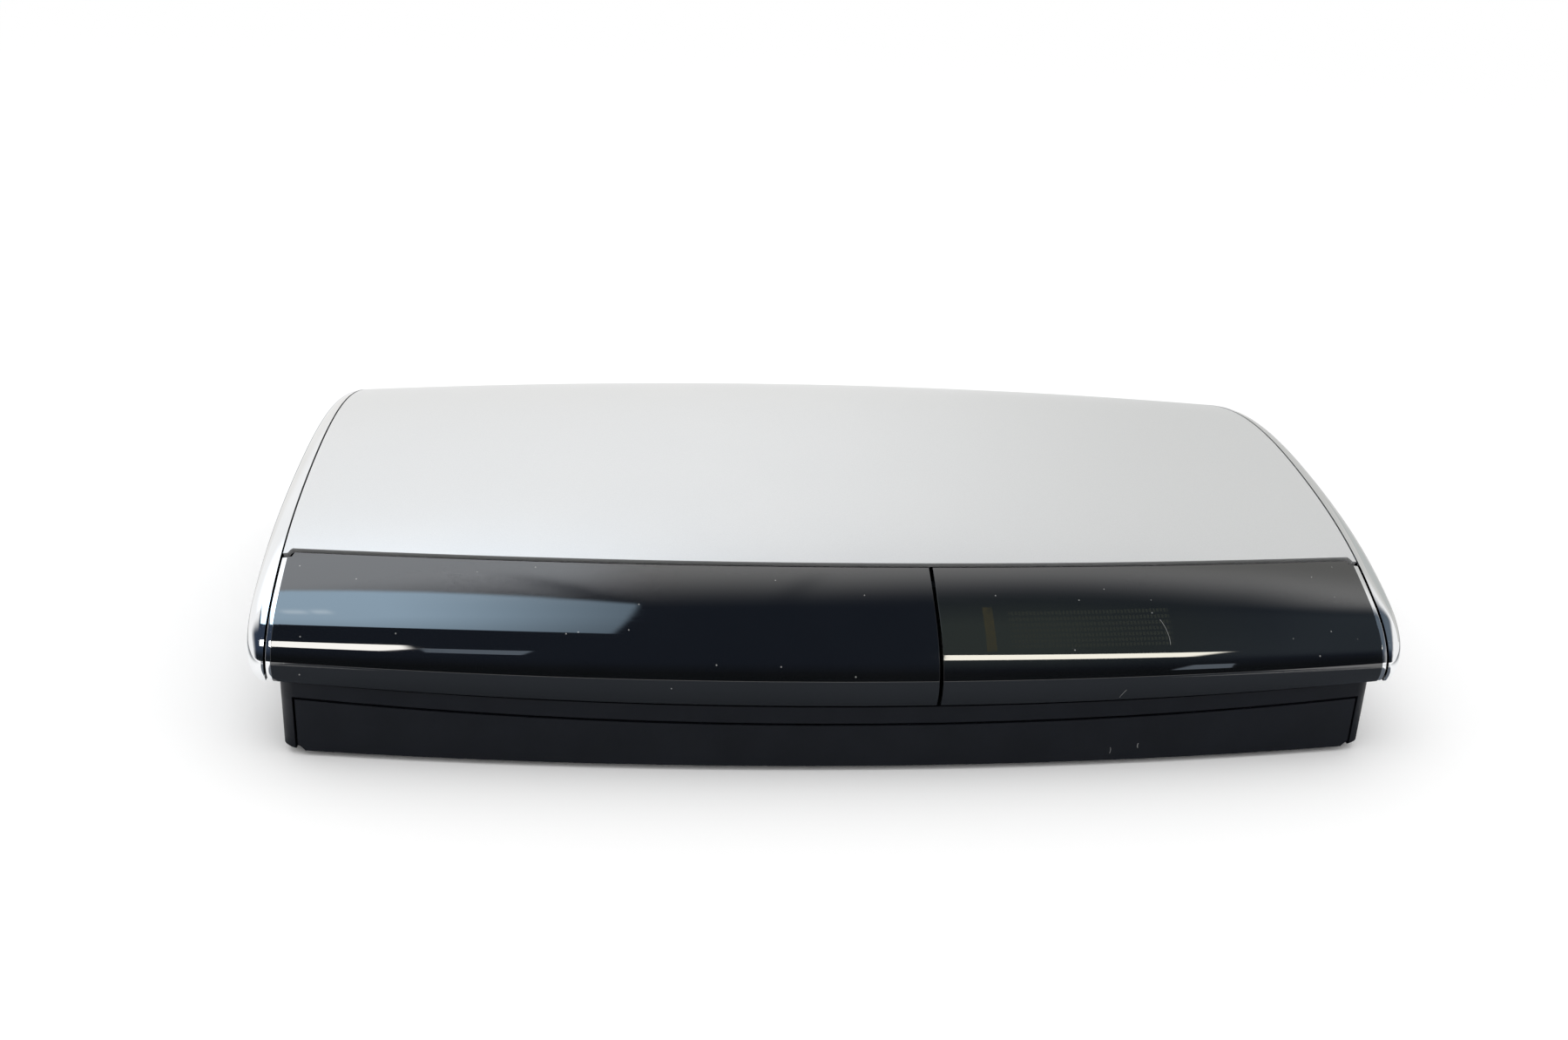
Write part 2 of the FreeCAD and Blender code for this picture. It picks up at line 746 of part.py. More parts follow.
def drive_belt():
    """The flat loop from the motor to the pulley gear."""
    z = pulley_z + (gear_thick - belt_tall) / 2.0
    loop = belt_loop(belt_thick).cut(belt_loop(0.0))
    loop.translate(Vec(0, 0, z))
    return loop.extrude(Vec(0, 0, belt_tall))


def loading_motor():
    """The motor under the drive's floor that moves the tray."""
    can = rod(motor_radius, motor_x, gear_y, chassis_z - motor_length, chassis_z)
    shaft = rod(motor_shaft_radius, motor_x, gear_y, chassis_z, pulley_z + gear_thick)
    return fuse([can, shaft])


# Disc spindle and pickup

plate_thick = 1.2
plate_half_width = 54.0
plate_front = 29.0
plate_rear = 76.0
spindle_radius = 12.0
spindle_length = 8.0
spindle_shaft_radius = 1.0
turntable_radius = 15.0
turntable_lift = 1.0
turntable_thick = 4.5
turntable_boss_radius = 4.0
turntable_boss = 3.5
cone_radius = 7.3
cone_tall = 2.0
cone_top_share = 0.8
bridge_half = 12.0
bridge_thick = 1.2
clamp_radius = 14.0
clamp_flange = 1.2
clamp_neck_radius = 8.0
clamp_cap_radius = 11.0
clamp_lift = 0.4
clamp_play = 0.5
guide_radius = 1.5
guide_half_gap = 26.0
guide_z = 29.0
guide_front = 5.0
guide_block = 3.4
sled_half_width = 30.0
sled_half_length = 12.0
sled_bottom = 26.0
sled_top = 32.5
sled_start = 24.0
sled_travel = 34.0
sled_gear_teeth = 12
sled_gear_offset = 36.0
sled_rack_thick = 2.0
sled_motor_radius = 8.0
sled_motor_length = 8.5
lens_radius = 4.0
lens_tall = 1.6
lens_dome = 0.6
plate_top = chassis_top + plate_thick
platform_z = tray_floor_z + tray_floor + turntable_lift
sled_y = disc_y + sled_start
sled_root_x = tray_x - sled_half_width
sled_gear_x = sled_root_x - tooth_in - pitch_radius(sled_gear_teeth)
sled_gear_y = disc_y + sled_gear_offset
sled_gear_z = sled_bottom + gear_gap
bridge_z = tray_top + slide_gap + keeper_tall


def traverse_plate():
    """The plate over the drive's well, with blocks that hold the ends of the guide rods."""
    plate = box(tray_x - plate_half_width, tray_x + plate_half_width,
                disc_y - plate_front, disc_y + plate_rear, chassis_top, plate_top)
    pieces = [plate]
    half = guide_block / 2.0
    ends = (disc_y + guide_front, disc_y + plate_rear - guide_block)
    for x in (tray_x - guide_half_gap, tray_x + guide_half_gap):
        for y in ends:
            pieces.append(box(x - half, x + half, y, y + guide_block, plate_top, guide_z + half))
    holes = [bar_y(guide_radius + hub_bore_gap, x, ends[0] - cut, ends[1] + guide_block + cut, guide_z)
             for x in (tray_x - guide_half_gap, tray_x + guide_half_gap)]
    holes.append(rod(spindle_shaft_radius + slide_gap, tray_x, disc_y, chassis_z, plate_top + cut))
    holes.append(rod(motor_shaft_radius + slide_gap, sled_gear_x, sled_gear_y, chassis_z, plate_top + cut))
    return drill(fuse(pieces), holes)


def spindle_motor():
    """The flat motor under the plate, with its shaft through it."""
    can = rod(spindle_radius, tray_x, disc_y, chassis_top - spindle_length, chassis_top)
    return fuse([can, rod(spindle_shaft_radius, tray_x, disc_y, chassis_top, platform_z)])


def turntable():
    """The disc platform with its centring cone."""
    low = platform_z - turntable_thick
    platform = rod(turntable_radius, tray_x, disc_y, low, platform_z)
    cone_place = Vec(tray_x, disc_y, platform_z)
    cone = Part.makeCone(cone_radius, cone_radius * cone_top_share, cone_tall, cone_place)
    boss = rod(turntable_boss_radius, tray_x, disc_y, low - turntable_boss, low)
    bore = rod(spindle_shaft_radius + hub_bore_gap, tray_x, disc_y, chassis_z, platform_z + hub_bore_gap)
    return fuse([platform, cone, boss]).cut(bore)


def clamp_bridge():
    """The metal strip across the drive that holds the disc clamp."""
    top = bridge_z + bridge_thick
    strip = box(wall_left, wall_right, disc_y - bridge_half, disc_y + bridge_half, bridge_z, top)
    return strip.cut(rod(clamp_neck_radius + slide_gap, tray_x, disc_y, bridge_z - cut, top + cut))


def disc_clamp():
    """The loose clamp that turns with the disc."""
    low = tray_top + clamp_lift
    over = bridge_z + bridge_thick + clamp_play
    flange = rod(clamp_radius, tray_x, disc_y, low, low + clamp_flange)
    neck = rod(clamp_neck_radius, tray_x, disc_y, low, over)
    cap = rod(clamp_cap_radius, tray_x, disc_y, over, over + clamp_flange)
    return fuse([flange, neck, cap])


def sled_rods():
    """The two guide rods of the pickup."""
    y0 = disc_y + guide_front
    y1 = disc_y + plate_rear
    return Part.makeCompound([bar_y(guide_radius, x, y0, y1, guide_z)
                              for x in (tray_x - guide_half_gap, tray_x + guide_half_gap)])


def pickup_sled():
    """The sled on its rods, with its rack on the left."""
    body = box(tray_x - sled_half_width, tray_x + sled_half_width, sled_y - sled_half_length,
               sled_y + sled_half_length, sled_bottom, sled_top)
    pitch = math.pi * tooth_module
    teeth = rack(sled_root_x, sled_root_x + sled_rack_thick, sled_gear_y - sled_travel - pitch - pitch,
                 sled_gear_y + pitch + pitch, sled_gear_y, sled_gear_z, sled_gear_z + gear_thick)
    y0 = sled_y - sled_half_length - cut
    y1 = sled_y + sled_half_length + cut
    bores = [bar_y(guide_radius + run_gap, x, y0, y1, guide_z)
             for x in (tray_x - guide_half_gap, tray_x + guide_half_gap)]
    return drill(fuse([body, teeth]), bores)


def objective_lens():
    """The pickup's lens in its round holder, with a low dome."""
    rim_z = sled_top + lens_tall
    holder = rod(lens_radius, tray_x, sled_y, sled_top, rim_z)
    ball = (lens_radius ** 2 + lens_dome ** 2) / (2.0 * lens_dome)
    dome = Part.makeSphere(ball, Vec(tray_x, sled_y, rim_z + lens_dome - ball))
    dome = dome.common(rod(lens_radius, tray_x, sled_y, rim_z, rim_z + lens_dome))
    return fuse([holder, dome])


def sled_gear():
    """The gear that moves the pickup along its rods."""
    wheel = gear(sled_gear_teeth, sled_gear_x, sled_gear_y, sled_gear_z, sled_gear_z + gear_thick, 0.0)
    return wheel.cut(rod(motor_shaft_radius + hub_bore_gap, sled_gear_x, sled_gear_y, chassis_z, tray_top))


def sled_motor():
    """The motor under the plate that turns the sled gear."""
    can = rod(sled_motor_radius, sled_gear_x, sled_gear_y, chassis_top - sled_motor_length, chassis_top)
    shaft = rod(motor_shaft_radius, sled_gear_x, sled_gear_y, chassis_top, sled_gear_z + gear_thick)
    return fuse([can, shaft])


def drive_bushes():
    """The rubber rings that the drive stands on."""
    rings = []
    for x, y in drive_ear_places():
        ring = rod(bush_radius, x, y, bush_z, chassis_z)
        rings.append(ring.cut(rod(screw_radius + run_gap, x, y, bush_z - cut, chassis_z + cut)))
    return Part.makeCompound(rings)


def drive_screws():
    """The screws through the drive's floor and bushes."""
    bite = bush_z - drive_screw_bite + run_gap
    return Part.makeCompound([screw_down(x, y, chassis_top, bite) for x, y in drive_ear_places()])


# Boards and what stands on them

board_side_inset = 21.0
board_gap = 8.0
main_setback = 114.5
power_width = 100.0
power_setback = 102.5
board_rear_gap = 3.0
board_screw_inset = 6.0
board_screw_bite = 6.0
boss_hole_gap = 1.5
chip_thick = 1.6
chip_place_shares = ((0.30, 0.30), (0.55, 0.32), (0.80, 0.35), (0.86, 0.78))
chip_sizes = (20.0, 14.0, 24.0, 12.0)
can_radius = 3.2
can_tall = 7.5
can_row_shares = (0.62, 0.68, 0.74, 0.80)
can_depth_share = 0.82
core_x = 46.0
core_y = 36.0
core_tall = 30.0
coil_x = 26.0
coil_out = 6.0
core_place_shares = (0.62, 0.26)
big_can_radius = 8.0
big_can_tall = 26.0
big_can_round = 1.5
big_can_shares = ((0.22, 0.55), (0.22, 0.72))
sink_x = 50.0
sink_y = 22.0
sink_tall = 26.0
sink_base = 3.0
fin_thick = 1.5
fin_count = 6
sink_place_shares = (0.66, 0.62)
ribbon_wide = 18.0
ribbon_thick = 0.4
ribbon_offset = 48.0
ribbon_back = 80.0
board_rear_y = rear_panel_y - base_wall - board_rear_gap
power_x1 = skin_half_width - board_side_inset
power_x0 = power_x1 - power_width
power_y0 = front_y + power_setback
main_x0 = -skin_half_width + board_side_inset
main_x1 = power_x0 - board_gap
main_y0 = front_y + main_setback


def board_screw_places():
    """The places of the screws that hold both boards."""
    i = board_screw_inset
    places = [(x, y) for x in (main_x0 + i, main_x1 - i) for y in (main_y0 + i, board_rear_y - i)]
    return places + [(x, y) for x in (power_x0 + i, power_x1 - i) for y in (power_y0 + i, board_rear_y - i)]


def board(x0, x1, y0):
    """A board with screw holes and room for the drive's bosses."""
    sheet = box(x0, x1, y0, board_rear_y, board_height, board_top)
    holes = [rod(screw_radius + run_gap, x, y, floor_top, board_top + cut) for x, y in board_screw_places()]
    reach = drive_boss_radius + boss_hole_gap
    holes += [rod(reach, x, y, floor_top, board_top + cut) for x, y in drive_ear_places()]
    return drill(sheet, holes)


def on_board(x0, x1, y0, x_share, y_share):
    """A place on a board from its shares of the board's sides."""
    return x0 + (x1 - x0) * x_share, y0 + (board_rear_y - y0) * y_share


def signal_chips():
    """Flat square chips on the main board."""
    chips = []
    for (x_share, y_share), size in zip(chip_place_shares, chip_sizes):
        x, y = on_board(main_x0, main_x1, main_y0, x_share, y_share)
        half = size / 2.0
        chips.append(box(x - half, x + half, y - half, y + half, board_top, board_top + chip_thick))
    return Part.makeCompound(chips)


def board_capacitors():
    """A row of small round capacitors on the main board."""
    cans = []
    for share in can_row_shares:
        x, y = on_board(main_x0, main_x1, main_y0, share, can_depth_share)
        cans.append(rod(can_radius, x, y, board_top, board_top + can_tall))
    return Part.makeCompound(cans)


def transformer():
    """The power transformer: a laminated core around a wound bobbin."""
    x, y = on_board(power_x0, power_x1, power_y0, *core_place_shares)
    core = box(x - core_x / 2.0, x + core_x / 2.0, y - core_y / 2.0 + coil_out, y + core_y / 2.0 - coil_out,
               board_top, board_top + core_tall)
    coil = box(x - coil_x / 2.0, x + coil_x / 2.0, y - core_y / 2.0, y + core_y / 2.0,
               board_top + coil_out / 2.0, board_top + core_tall - coil_out)
    return fuse([core, coil])


def power_capacitors():
    """The two large round capacitors of the power board."""
    cans = []
    for x_share, y_share in big_can_shares:
        x, y = on_board(power_x0, power_x1, power_y0, x_share, y_share)
        can = rod(big_can_radius, x, y, board_top, board_top + big_can_tall)
        upper = [e for e in can.Edges if e.BoundBox.ZMin > board_top + near]
        cans.append(can.makeFillet(big_can_round, upper))
    return Part.makeCompound(cans)


def heat_sink():
    """The finned heat sink of the power board."""
    x, y = on_board(power_x0, power_x1, power_y0, *sink_place_shares)
    x0 = x - sink_x / 2.0
    y0 = y - sink_y / 2.0
    plate = box(x0, x0 + sink_x, y0, y0 + sink_base, board_top, board_top + sink_tall)
    step = (sink_x - fin_thick) / (fin_count - 1)
    fins = [box(x0 + i * step, x0 + i * step + fin_thick, y0, y0 + sink_y, board_top, board_top + sink_tall)
            for i in range(fin_count)]
    return fuse([plate] + fins)


def ribbon_cable():
    """The flat cable from the main board up to the drive's floor."""
    half = ribbon_wide / 2.0
    x = tray_x - ribbon_offset
    y = disc_y + ribbon_back
    riser = box(x - half, x + half, y, y + ribbon_thick, board_top, chassis_z)
    foot = box(x - half, x + half, y, y + half, board_top, board_top + ribbon_thick)
    return fuse([riser, foot])


def board_screws():
    """The screws that hold both boards."""
    bite = board_height - board_screw_bite + run_gap
    return Part.makeCompound([screw_down(x, y, board_top, bite) for x, y in board_screw_places()])


# Rear panel and sockets

rear_side_inset = 6.0
socket_row_shares = (0.2828747, 0.7836605)
socket_deep = 13.0
socket_lug = 6.0
phono_first_share = 0.0862069
phono_pitch_share = 0.0732759
phono_columns = 7
phono_radius = 4.15
phono_bore = 3.2
phono_out = 8.0
phono_insert_out = 6.5
phono_pin_radius = 1.6
phono_margin = 7.5
phono_cheek = 2.0
phono_block_deep = 16.0
link_share = 0.6982759
link_radius = 8.5
link_cavity_radius = 6.9
link_out = 4.0
link_cavity = 7.0
link_body_half = 10.0
link_body_deep = 14.0
link_key = 2.0
antenna_share = 0.8189655
antenna_radius = 4.7
antenna_out = 8.5
antenna_nut_radius = 6.8
antenna_nut = 2.5
antenna_nut_sides = 6
antenna_bore = 0.9
optical_share = 0.9137931
optical_size = 10.0
optical_out = 2.0
inlet_inset = 30.0
inlet_cavity_x = 20.0
inlet_cavity_z = 10.0
inlet_cavity_deep = 13.0
inlet_wall = 2.0
inlet_flange = 3.0
inlet_out = 2.0
inlet_pin_radius = 1.2
inlet_pin_out = 7.0
inlet_pin_pitch = 8.0
panel_inner_y = rear_panel_y - base_wall
main_width = main_x1 - main_x0
link_x = main_x0 + link_share * main_width
antenna_x = main_x0 + antenna_share * main_width
optical_x = main_x0 + optical_share * main_width
inlet_x = power_x1 - inlet_inset
socket_band = rear_edge_z - cover_rear_lip - base_top_z
socket_rows = [base_top_z + share * socket_band for share in socket_row_shares]
socket_z = sum(socket_rows) / len(socket_rows)


def phono_places():
    """The middle of each phono socket along X and Z."""
    shares = [phono_first_share + phono_pitch_share * index for index in range(phono_columns)]
    return [(main_x0 + share * main_width, z) for share in shares for z in socket_rows]


def rear_panel():
    """The flat rear wall above the base, with holes for the sockets."""
    half = skin_half_width - rear_side_inset
    wall = box(-half, half, panel_inner_y, rear_panel_y, base_bottom, height)
    wall = wall.common(upper_form(skin_half_width, cover_wall + slide_gap, form_tail))
    wall = wall.common(smile(base_top_z, lip_rise, slide_gap))
    y0 = panel_inner_y - cut
    y1 = rear_panel_y + cut
    holes = [bar_y(phono_radius + slide_gap, x, y0, y1, z) for x, z in phono_places()]
    holes.append(bar_y(link_radius + slide_gap, link_x, y0, y1, socket_z))
    holes.append(bar_y(antenna_radius + slide_gap, antenna_x, y0, y1, socket_z))
    half = optical_size / 2.0 + slide_gap
    holes.append(box(optical_x - half, optical_x + half, y0, y1, socket_z - half, socket_z + half))
    wide = inlet_cavity_x / 2.0 + inlet_wall + slide_gap
    tall = inlet_cavity_z / 2.0 + inlet_wall + slide_gap
    holes.append(box(inlet_x - wide, inlet_x + wide, y0, y1, socket_z - tall, socket_z + tall))
    return drill(wall, holes)


def phono_block():
    """The moulded block on the main board behind the phono sockets."""
    xs, zs = zip(*phono_places())
    return box(min(xs) - phono_margin, max(xs) + phono_margin,
               panel_inner_y - phono_block_deep, panel_inner_y,
               board_top, max(zs) + phono_radius + phono_cheek)


def phono_sleeves():
    """The metal sleeves of the phono sockets."""
    sleeves = []
    end = rear_panel_y + phono_out
    for x, z in phono_places():
        tube = bar_y(phono_radius, x, panel_inner_y, end, z)
        sleeves.append(tube.cut(bar_y(phono_bore, x, panel_inner_y - cut, end + cut, z)))
    return Part.makeCompound(sleeves)


def phono_inserts():
    """The coloured insulators inside the sleeves, each with a bore for the plug's pin."""
    inserts = []
    end = rear_panel_y + phono_insert_out
    for x, z in phono_places():
        plug = bar_y(phono_bore - bond_gap, x, panel_inner_y, end, z)
        inserts.append(plug.cut(bar_y(phono_pin_radius, x, panel_inner_y + cut, end + cut, z)))
    return Part.makeCompound(inserts)


def speaker_socket():
    """The round multi-way socket for the speaker link."""
    half = link_body_half
    body = box(link_x - half, link_x + half, panel_inner_y - link_body_deep, panel_inner_y,
               board_top, socket_z + half)
    barrel = bar_y(link_radius, link_x, panel_inner_y, rear_panel_y + link_out, socket_z)
    end = rear_panel_y + link_out
    hollow = bar_y(link_cavity_radius, link_x, end - link_cavity, end + cut, socket_z)
    key = box(link_x - link_key, link_x + link_key, end - link_cavity, end,
              socket_z + link_cavity_radius - link_key, socket_z + link_cavity_radius + bond_gap)
    return fuse([fuse([body, barrel]).cut(hollow), key])


def antenna_jack():
    """The radio aerial's coaxial socket with its nut."""
    start = panel_inner_y - socket_deep
    barrel = bar_y(antenna_radius, antenna_x, start, rear_panel_y + antenna_out, socket_z)
    points = []
    for index in range(antenna_nut_sides):
        angle = 2.0 * math.pi * index / antenna_nut_sides
        points.append(Vec(antenna_x + antenna_nut_radius * math.cos(angle), rear_panel_y,
                          socket_z + antenna_nut_radius * math.sin(angle)))
    nut = Part.Face(Part.makePolygon(points + points[:1])).extrude(Vec(0, antenna_nut, 0))
    leg = box(antenna_x - antenna_radius, antenna_x + antenna_radius, start, start + socket_lug,
              board_top, socket_z)
    bore = bar_y(antenna_bore, antenna_x, rear_panel_y, rear_panel_y + antenna_out + cut, socket_z)
    return fuse([barrel, nut, leg]).cut(bore)


def optical_socket():
    """The optical digital socket with its shutter closed."""
    half = optical_size / 2.0
    block = box(optical_x - half, optical_x + half, panel_inner_y - socket_deep, rear_panel_y + optical_out,
                socket_z - half, socket_z + half)
    leg = box(optical_x - half, optical_x + half, panel_inner_y - socket_deep,
              panel_inner_y - socket_deep + socket_lug, board_top, socket_z)
    return fuse([block, leg])


def power_inlet():
    """The mains inlet: a housing through the rear panel with a flange outside."""
    wide = inlet_cavity_x / 2.0
    tall = inlet_cavity_z / 2.0
    end = rear_panel_y + inlet_out
    deep = end - inlet_cavity_deep
    body = box(inlet_x - wide - inlet_wall, inlet_x + wide + inlet_wall, deep - inlet_wall, end,
               socket_z - tall - inlet_wall, socket_z + tall + inlet_wall)
    lip = inlet_flange + inlet_wall
    brim = inlet_wall + inlet_wall
    flange = box(inlet_x - wide - lip, inlet_x + wide + lip, rear_panel_y, end,
                 socket_z - tall - brim, socket_z + tall + brim)
    leg = box(inlet_x - wide, inlet_x + wide, deep - inlet_wall, deep + inlet_flange,
              board_top, socket_z - tall)
    hollow = box(inlet_x - wide, inlet_x + wide, deep, end + cut, socket_z - tall, socket_z + tall)
    return fuse([body, flange, leg]).cut(hollow)


def inlet_pins():
    """The two pins inside the mains inlet."""
    deep = rear_panel_y + inlet_out - inlet_cavity_deep
    half = inlet_pin_pitch / 2.0
    return Part.makeCompound([bar_y(inlet_pin_radius, inlet_x + x, deep, deep + inlet_pin_out, socket_z)
                              for x in (-half, half)])


def main():
    """Build every piece and write it."""
    os.makedirs("parts", exist_ok=True)
    half_seam = panel_seam / 2.0
    left_edge = -skin_half_width + strip_width
    right_edge = skin_half_width - strip_width
    save("top_cover", top_cover())
    save("left_end_cap", end_cap(-1.0))
    save("right_end_cap", end_cap(1.0))
    save("drawer_front", front_span(left_edge, panel_split_x - half_seam))
    save("drawer_end_strip", front_span(-skin_half_width, left_edge))
    save("display_window", front_span(panel_split_x + half_seam, right_edge))
    save("window_end_strip", front_span(right_edge, skin_half_width))
    save("main_board", board(main_x0, main_x1, main_y0))
    save("power_board", board(power_x0, power_x1, power_y0))
    for name, x, z in button_places():
        save(name, button(x, z))
    for piece in (base_tray, base_front_cover, rubber_feet, case_screws, rear_panel, inner_fascia,
                  button_board, display_board, display_tube, ir_receiver, drive_chassis, disc_tray,
                  drawer_bracket, tray_gear, pulley_gear, motor_pulley, drive_belt, loading_motor,
                  traverse_plate, spindle_motor, turntable, clamp_bridge, disc_clamp, sled_rods,
                  pickup_sled, objective_lens, sled_gear, sled_motor, drive_bushes, drive_screws,
                  signal_chips, board_capacitors, transformer, power_capacitors, heat_sink,
                  ribbon_cable, board_screws, phono_block, phono_sleeves, phono_inserts,
                  speaker_socket, antenna_jack, optical_socket, power_inlet, inlet_pins):
        save(piece.__name__, piece())


main()
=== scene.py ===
import json
import math

import bpy
import numpy as np
from mathutils import Matrix, Vector


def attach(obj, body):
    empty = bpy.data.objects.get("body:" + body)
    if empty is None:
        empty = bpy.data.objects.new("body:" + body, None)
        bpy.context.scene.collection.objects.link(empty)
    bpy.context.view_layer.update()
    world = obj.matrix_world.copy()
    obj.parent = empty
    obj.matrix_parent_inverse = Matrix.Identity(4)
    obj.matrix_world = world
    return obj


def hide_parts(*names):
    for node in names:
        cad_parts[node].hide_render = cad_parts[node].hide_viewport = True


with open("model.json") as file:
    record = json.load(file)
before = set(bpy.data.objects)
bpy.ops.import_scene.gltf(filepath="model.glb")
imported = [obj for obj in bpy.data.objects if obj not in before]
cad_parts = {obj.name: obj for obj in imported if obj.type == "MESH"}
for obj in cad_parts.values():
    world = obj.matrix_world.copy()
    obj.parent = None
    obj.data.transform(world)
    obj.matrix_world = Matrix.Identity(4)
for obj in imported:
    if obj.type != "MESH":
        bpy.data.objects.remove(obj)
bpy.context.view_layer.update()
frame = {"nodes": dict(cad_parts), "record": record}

MM = 0.001
LEFT, RIGHT = -1.0, 1.0

# All sizes are in millimetres. These are shared with the solids.
DEPTH = 265.0
HEIGHT = 88.0
WAIST = 42.5
FRONT_BOW = 12.7
CROWN_DROP = 8.2
SKIN_HALF = 191.0
FRONT_Y = -DEPTH / 2.0
REAR_Y = DEPTH / 2.0
DEPTH_SHARES = (1.0, 0.824, 0.621, 0.334, 0.130, 0.0694, 0.0242, 0.0, 0.0066)
HEIGHT_SHARES = (0.632, 0.8625, 1.0, 0.9177, 0.719, 0.618, 0.5137, 0.375, 0.2836)
REAR_SLOPE = (-0.87704, 0.46429)
LIP_SLOPE = (0.56051, -0.98506)
COVER_FRONT_Y = FRONT_Y + 34.5
COVER_BOW = 15.0
COVER_SEAM = 1.8
COVER_WALL = 2.0
COVER_REAR_LIP = 5.5
PANEL_WALL = 3.0
PANEL_SPLIT = 30.5
PANEL_SEAM = 1.3
STRIP_WIDTH = 1.8
CAP_START = 191.6
CAP_ROUND = 7.5
CAP_WALL = 2.0
POST_RADIUS = 3.6
POST_PLACES = ((-178.0, -76.0), (178.0, -76.0), (-178.0, 112.0), (178.0, 112.0))
POST_FOOT = 4.5
REAR_FACE_Y = 123.5

# The shells lie this little inside the solids, and the tabs are as the photograph shows them
SKIN_INSET = 0.06
REAR_TRIM = 0.01
CAP_BULGE = 6.39
TAB_WIDTH = 1.5
TAB_SLOPE = 1.2
TAB_OUT = 2.4
TAB_STEP = 0.1

# Shell details
COVER_COLUMNS = 73
COVER_ROWS = 96
COVER_LIP_ROWS = 4
COVER_EDGE_ROUND = 0.7
PANEL_COLUMNS = 61
PANEL_ROWS = 72
PANEL_EDGE_ROUND = 0.45
STRIP_WALL = 2.0
STRIP_EDGE_ROUND = 0.2
STRIP_SINKS = (0.2, 0.2, 0.25)
CAP_RINGS = 13
CAP_SKIN_POINTS = 120
CAP_FLOOR_POINTS = 24
CAP_REAR_POINTS = 8
CAP_EDGE_ROUND = 0.8
CAP_EDGE_ANGLE = 35.0
POST_SIDES = 24
POST_HOLE = 1.5
POST_FOOT_RADIUS = 3.3
POST_COLLAR_RADIUS = 3.5
POST_COLLAR = 0.6
POST_SEARCH = 6.0
POST_SEARCH_STEPS = 160

# Rear flanges, side skirts and rear screws
FLANGE_START = 185.2
FLANGE_CAP_GAP = 0.4
FLANGE_FRONT_Y = REAR_FACE_Y - 4.0
FLANGE_REAR_Y = REAR_FACE_Y - 1.2
FLANGE_HEIGHTS = (27.5, 57.5)
FLANGE_EDGE_ROUND = 0.4
SKIRT_REACH = (186.5, 193.5)
SKIRT_DEPTHS = (-112.0, 121.0)
SKIRT_HEIGHTS = (27.3, 28.0)
SKIRT_EDGE_ROUND = 0.15
SCREW_XS = (-176.0, -30.0, 60.0, 110.0, 176.0)
SCREW_Z = 31.5
SCREW_SIDES = 36
SCREW_EDGE_ANGLE = 35.0
# Each ring's radius, how far it stands out, and whether it is a hexagon
SCREW_RINGS = ((2.8, 0.0, False), (2.8, 0.5, False), (2.4, 1.0, False), (1.6, 1.35, False),
               (1.15, 1.4, True), (1.1, 0.55, True))

# Marks: the middle x and z of an arc, its radius, its two heights, its half width, and its side
BASE_CHIPS = ((90.1, 5.8, 3.0, 4.6, 6.9, 0.09, True), (104.6, 7.2, 1.9, 6.3, 8.1, 0.14, False))
WINDOW_SCRATCHES = ((102.56, 44.74, 8.07, 44.1, 50.3, 0.07, True),
                    (101.78, 24.36, 8.95, 26.9, 30.2, 0.06, False))

# The unlit display behind the right panel, and the two rows of phono inserts
FILTER_LOW = (38.0, 43.0)
FILTER_HIGH = (50.0, 58.0)
FILTER_END = (70.0, 150.0)
DISPLAY_SPAN = (55.0, 112.0)
DISPLAY_HEIGHTS = (44.0, 53.0)
DOT_PITCH = 1.3
DOT_SHARE = 0.6
FOAM_SPAN = (46.2, 49.6)
FOAM_HEIGHTS = (43.4, 53.8)
PHONO_ROW_SPLIT = 38.0
PHONO_LAST_X = -57.0

# The camera, found from the photograph's seams and outlines
PHOTO_WIDTH = 1800
FOCAL_PIXELS = 1709.7
SENSOR_WIDTH = 36.0
CAMERA_PLACE = (-69.27, -570.23, 254.76)
CAMERA_PITCH = 20.34
CAMERA_YAW = 5.82
CAMERA_ROLL = 2.63

# The stage
FLOOR_HALF = 6000.0
FLOOR_COLOUR = (0.999, 0.999, 0.999)
LAMP_PLACE = (-300.0, -400.0, 1600.0)
LAMP_TARGET = (0.0, 0.0, 50.0)
LAMP_SIZE = (1400.0, 1000.0)
LAMP_RADIANCE = 0.8
STUDIO_CENTRE = Vector((0.0, -100.0, 50.0))
APRON_LIFT = 0.4
APRON_CORNERS = ((-850.0, -1500.0), (1050.0, -1500.0), (209.0, -100.0), (-190.0, -100.0))
APRON_COLOUR = (0.125, 0.14, 0.165)
SIDE_APRON_XS = (260.0, 1800.0)
SIDE_APRON_YS = (-420.0, 1200.0)
SIDE_APRON_GRID = (78, 82)
SIDE_APRON_RADIANCE = (0.30, 0.31, 0.32)
SIDE_APRON_NEAR_FADE = (260.0, 440.0)
SIDE_APRON_FRONT_FADE = (-420.0, -160.0)
SIDE_APRON_REAR_FADE = (1200.0, 500.0)


# The upper body's surface

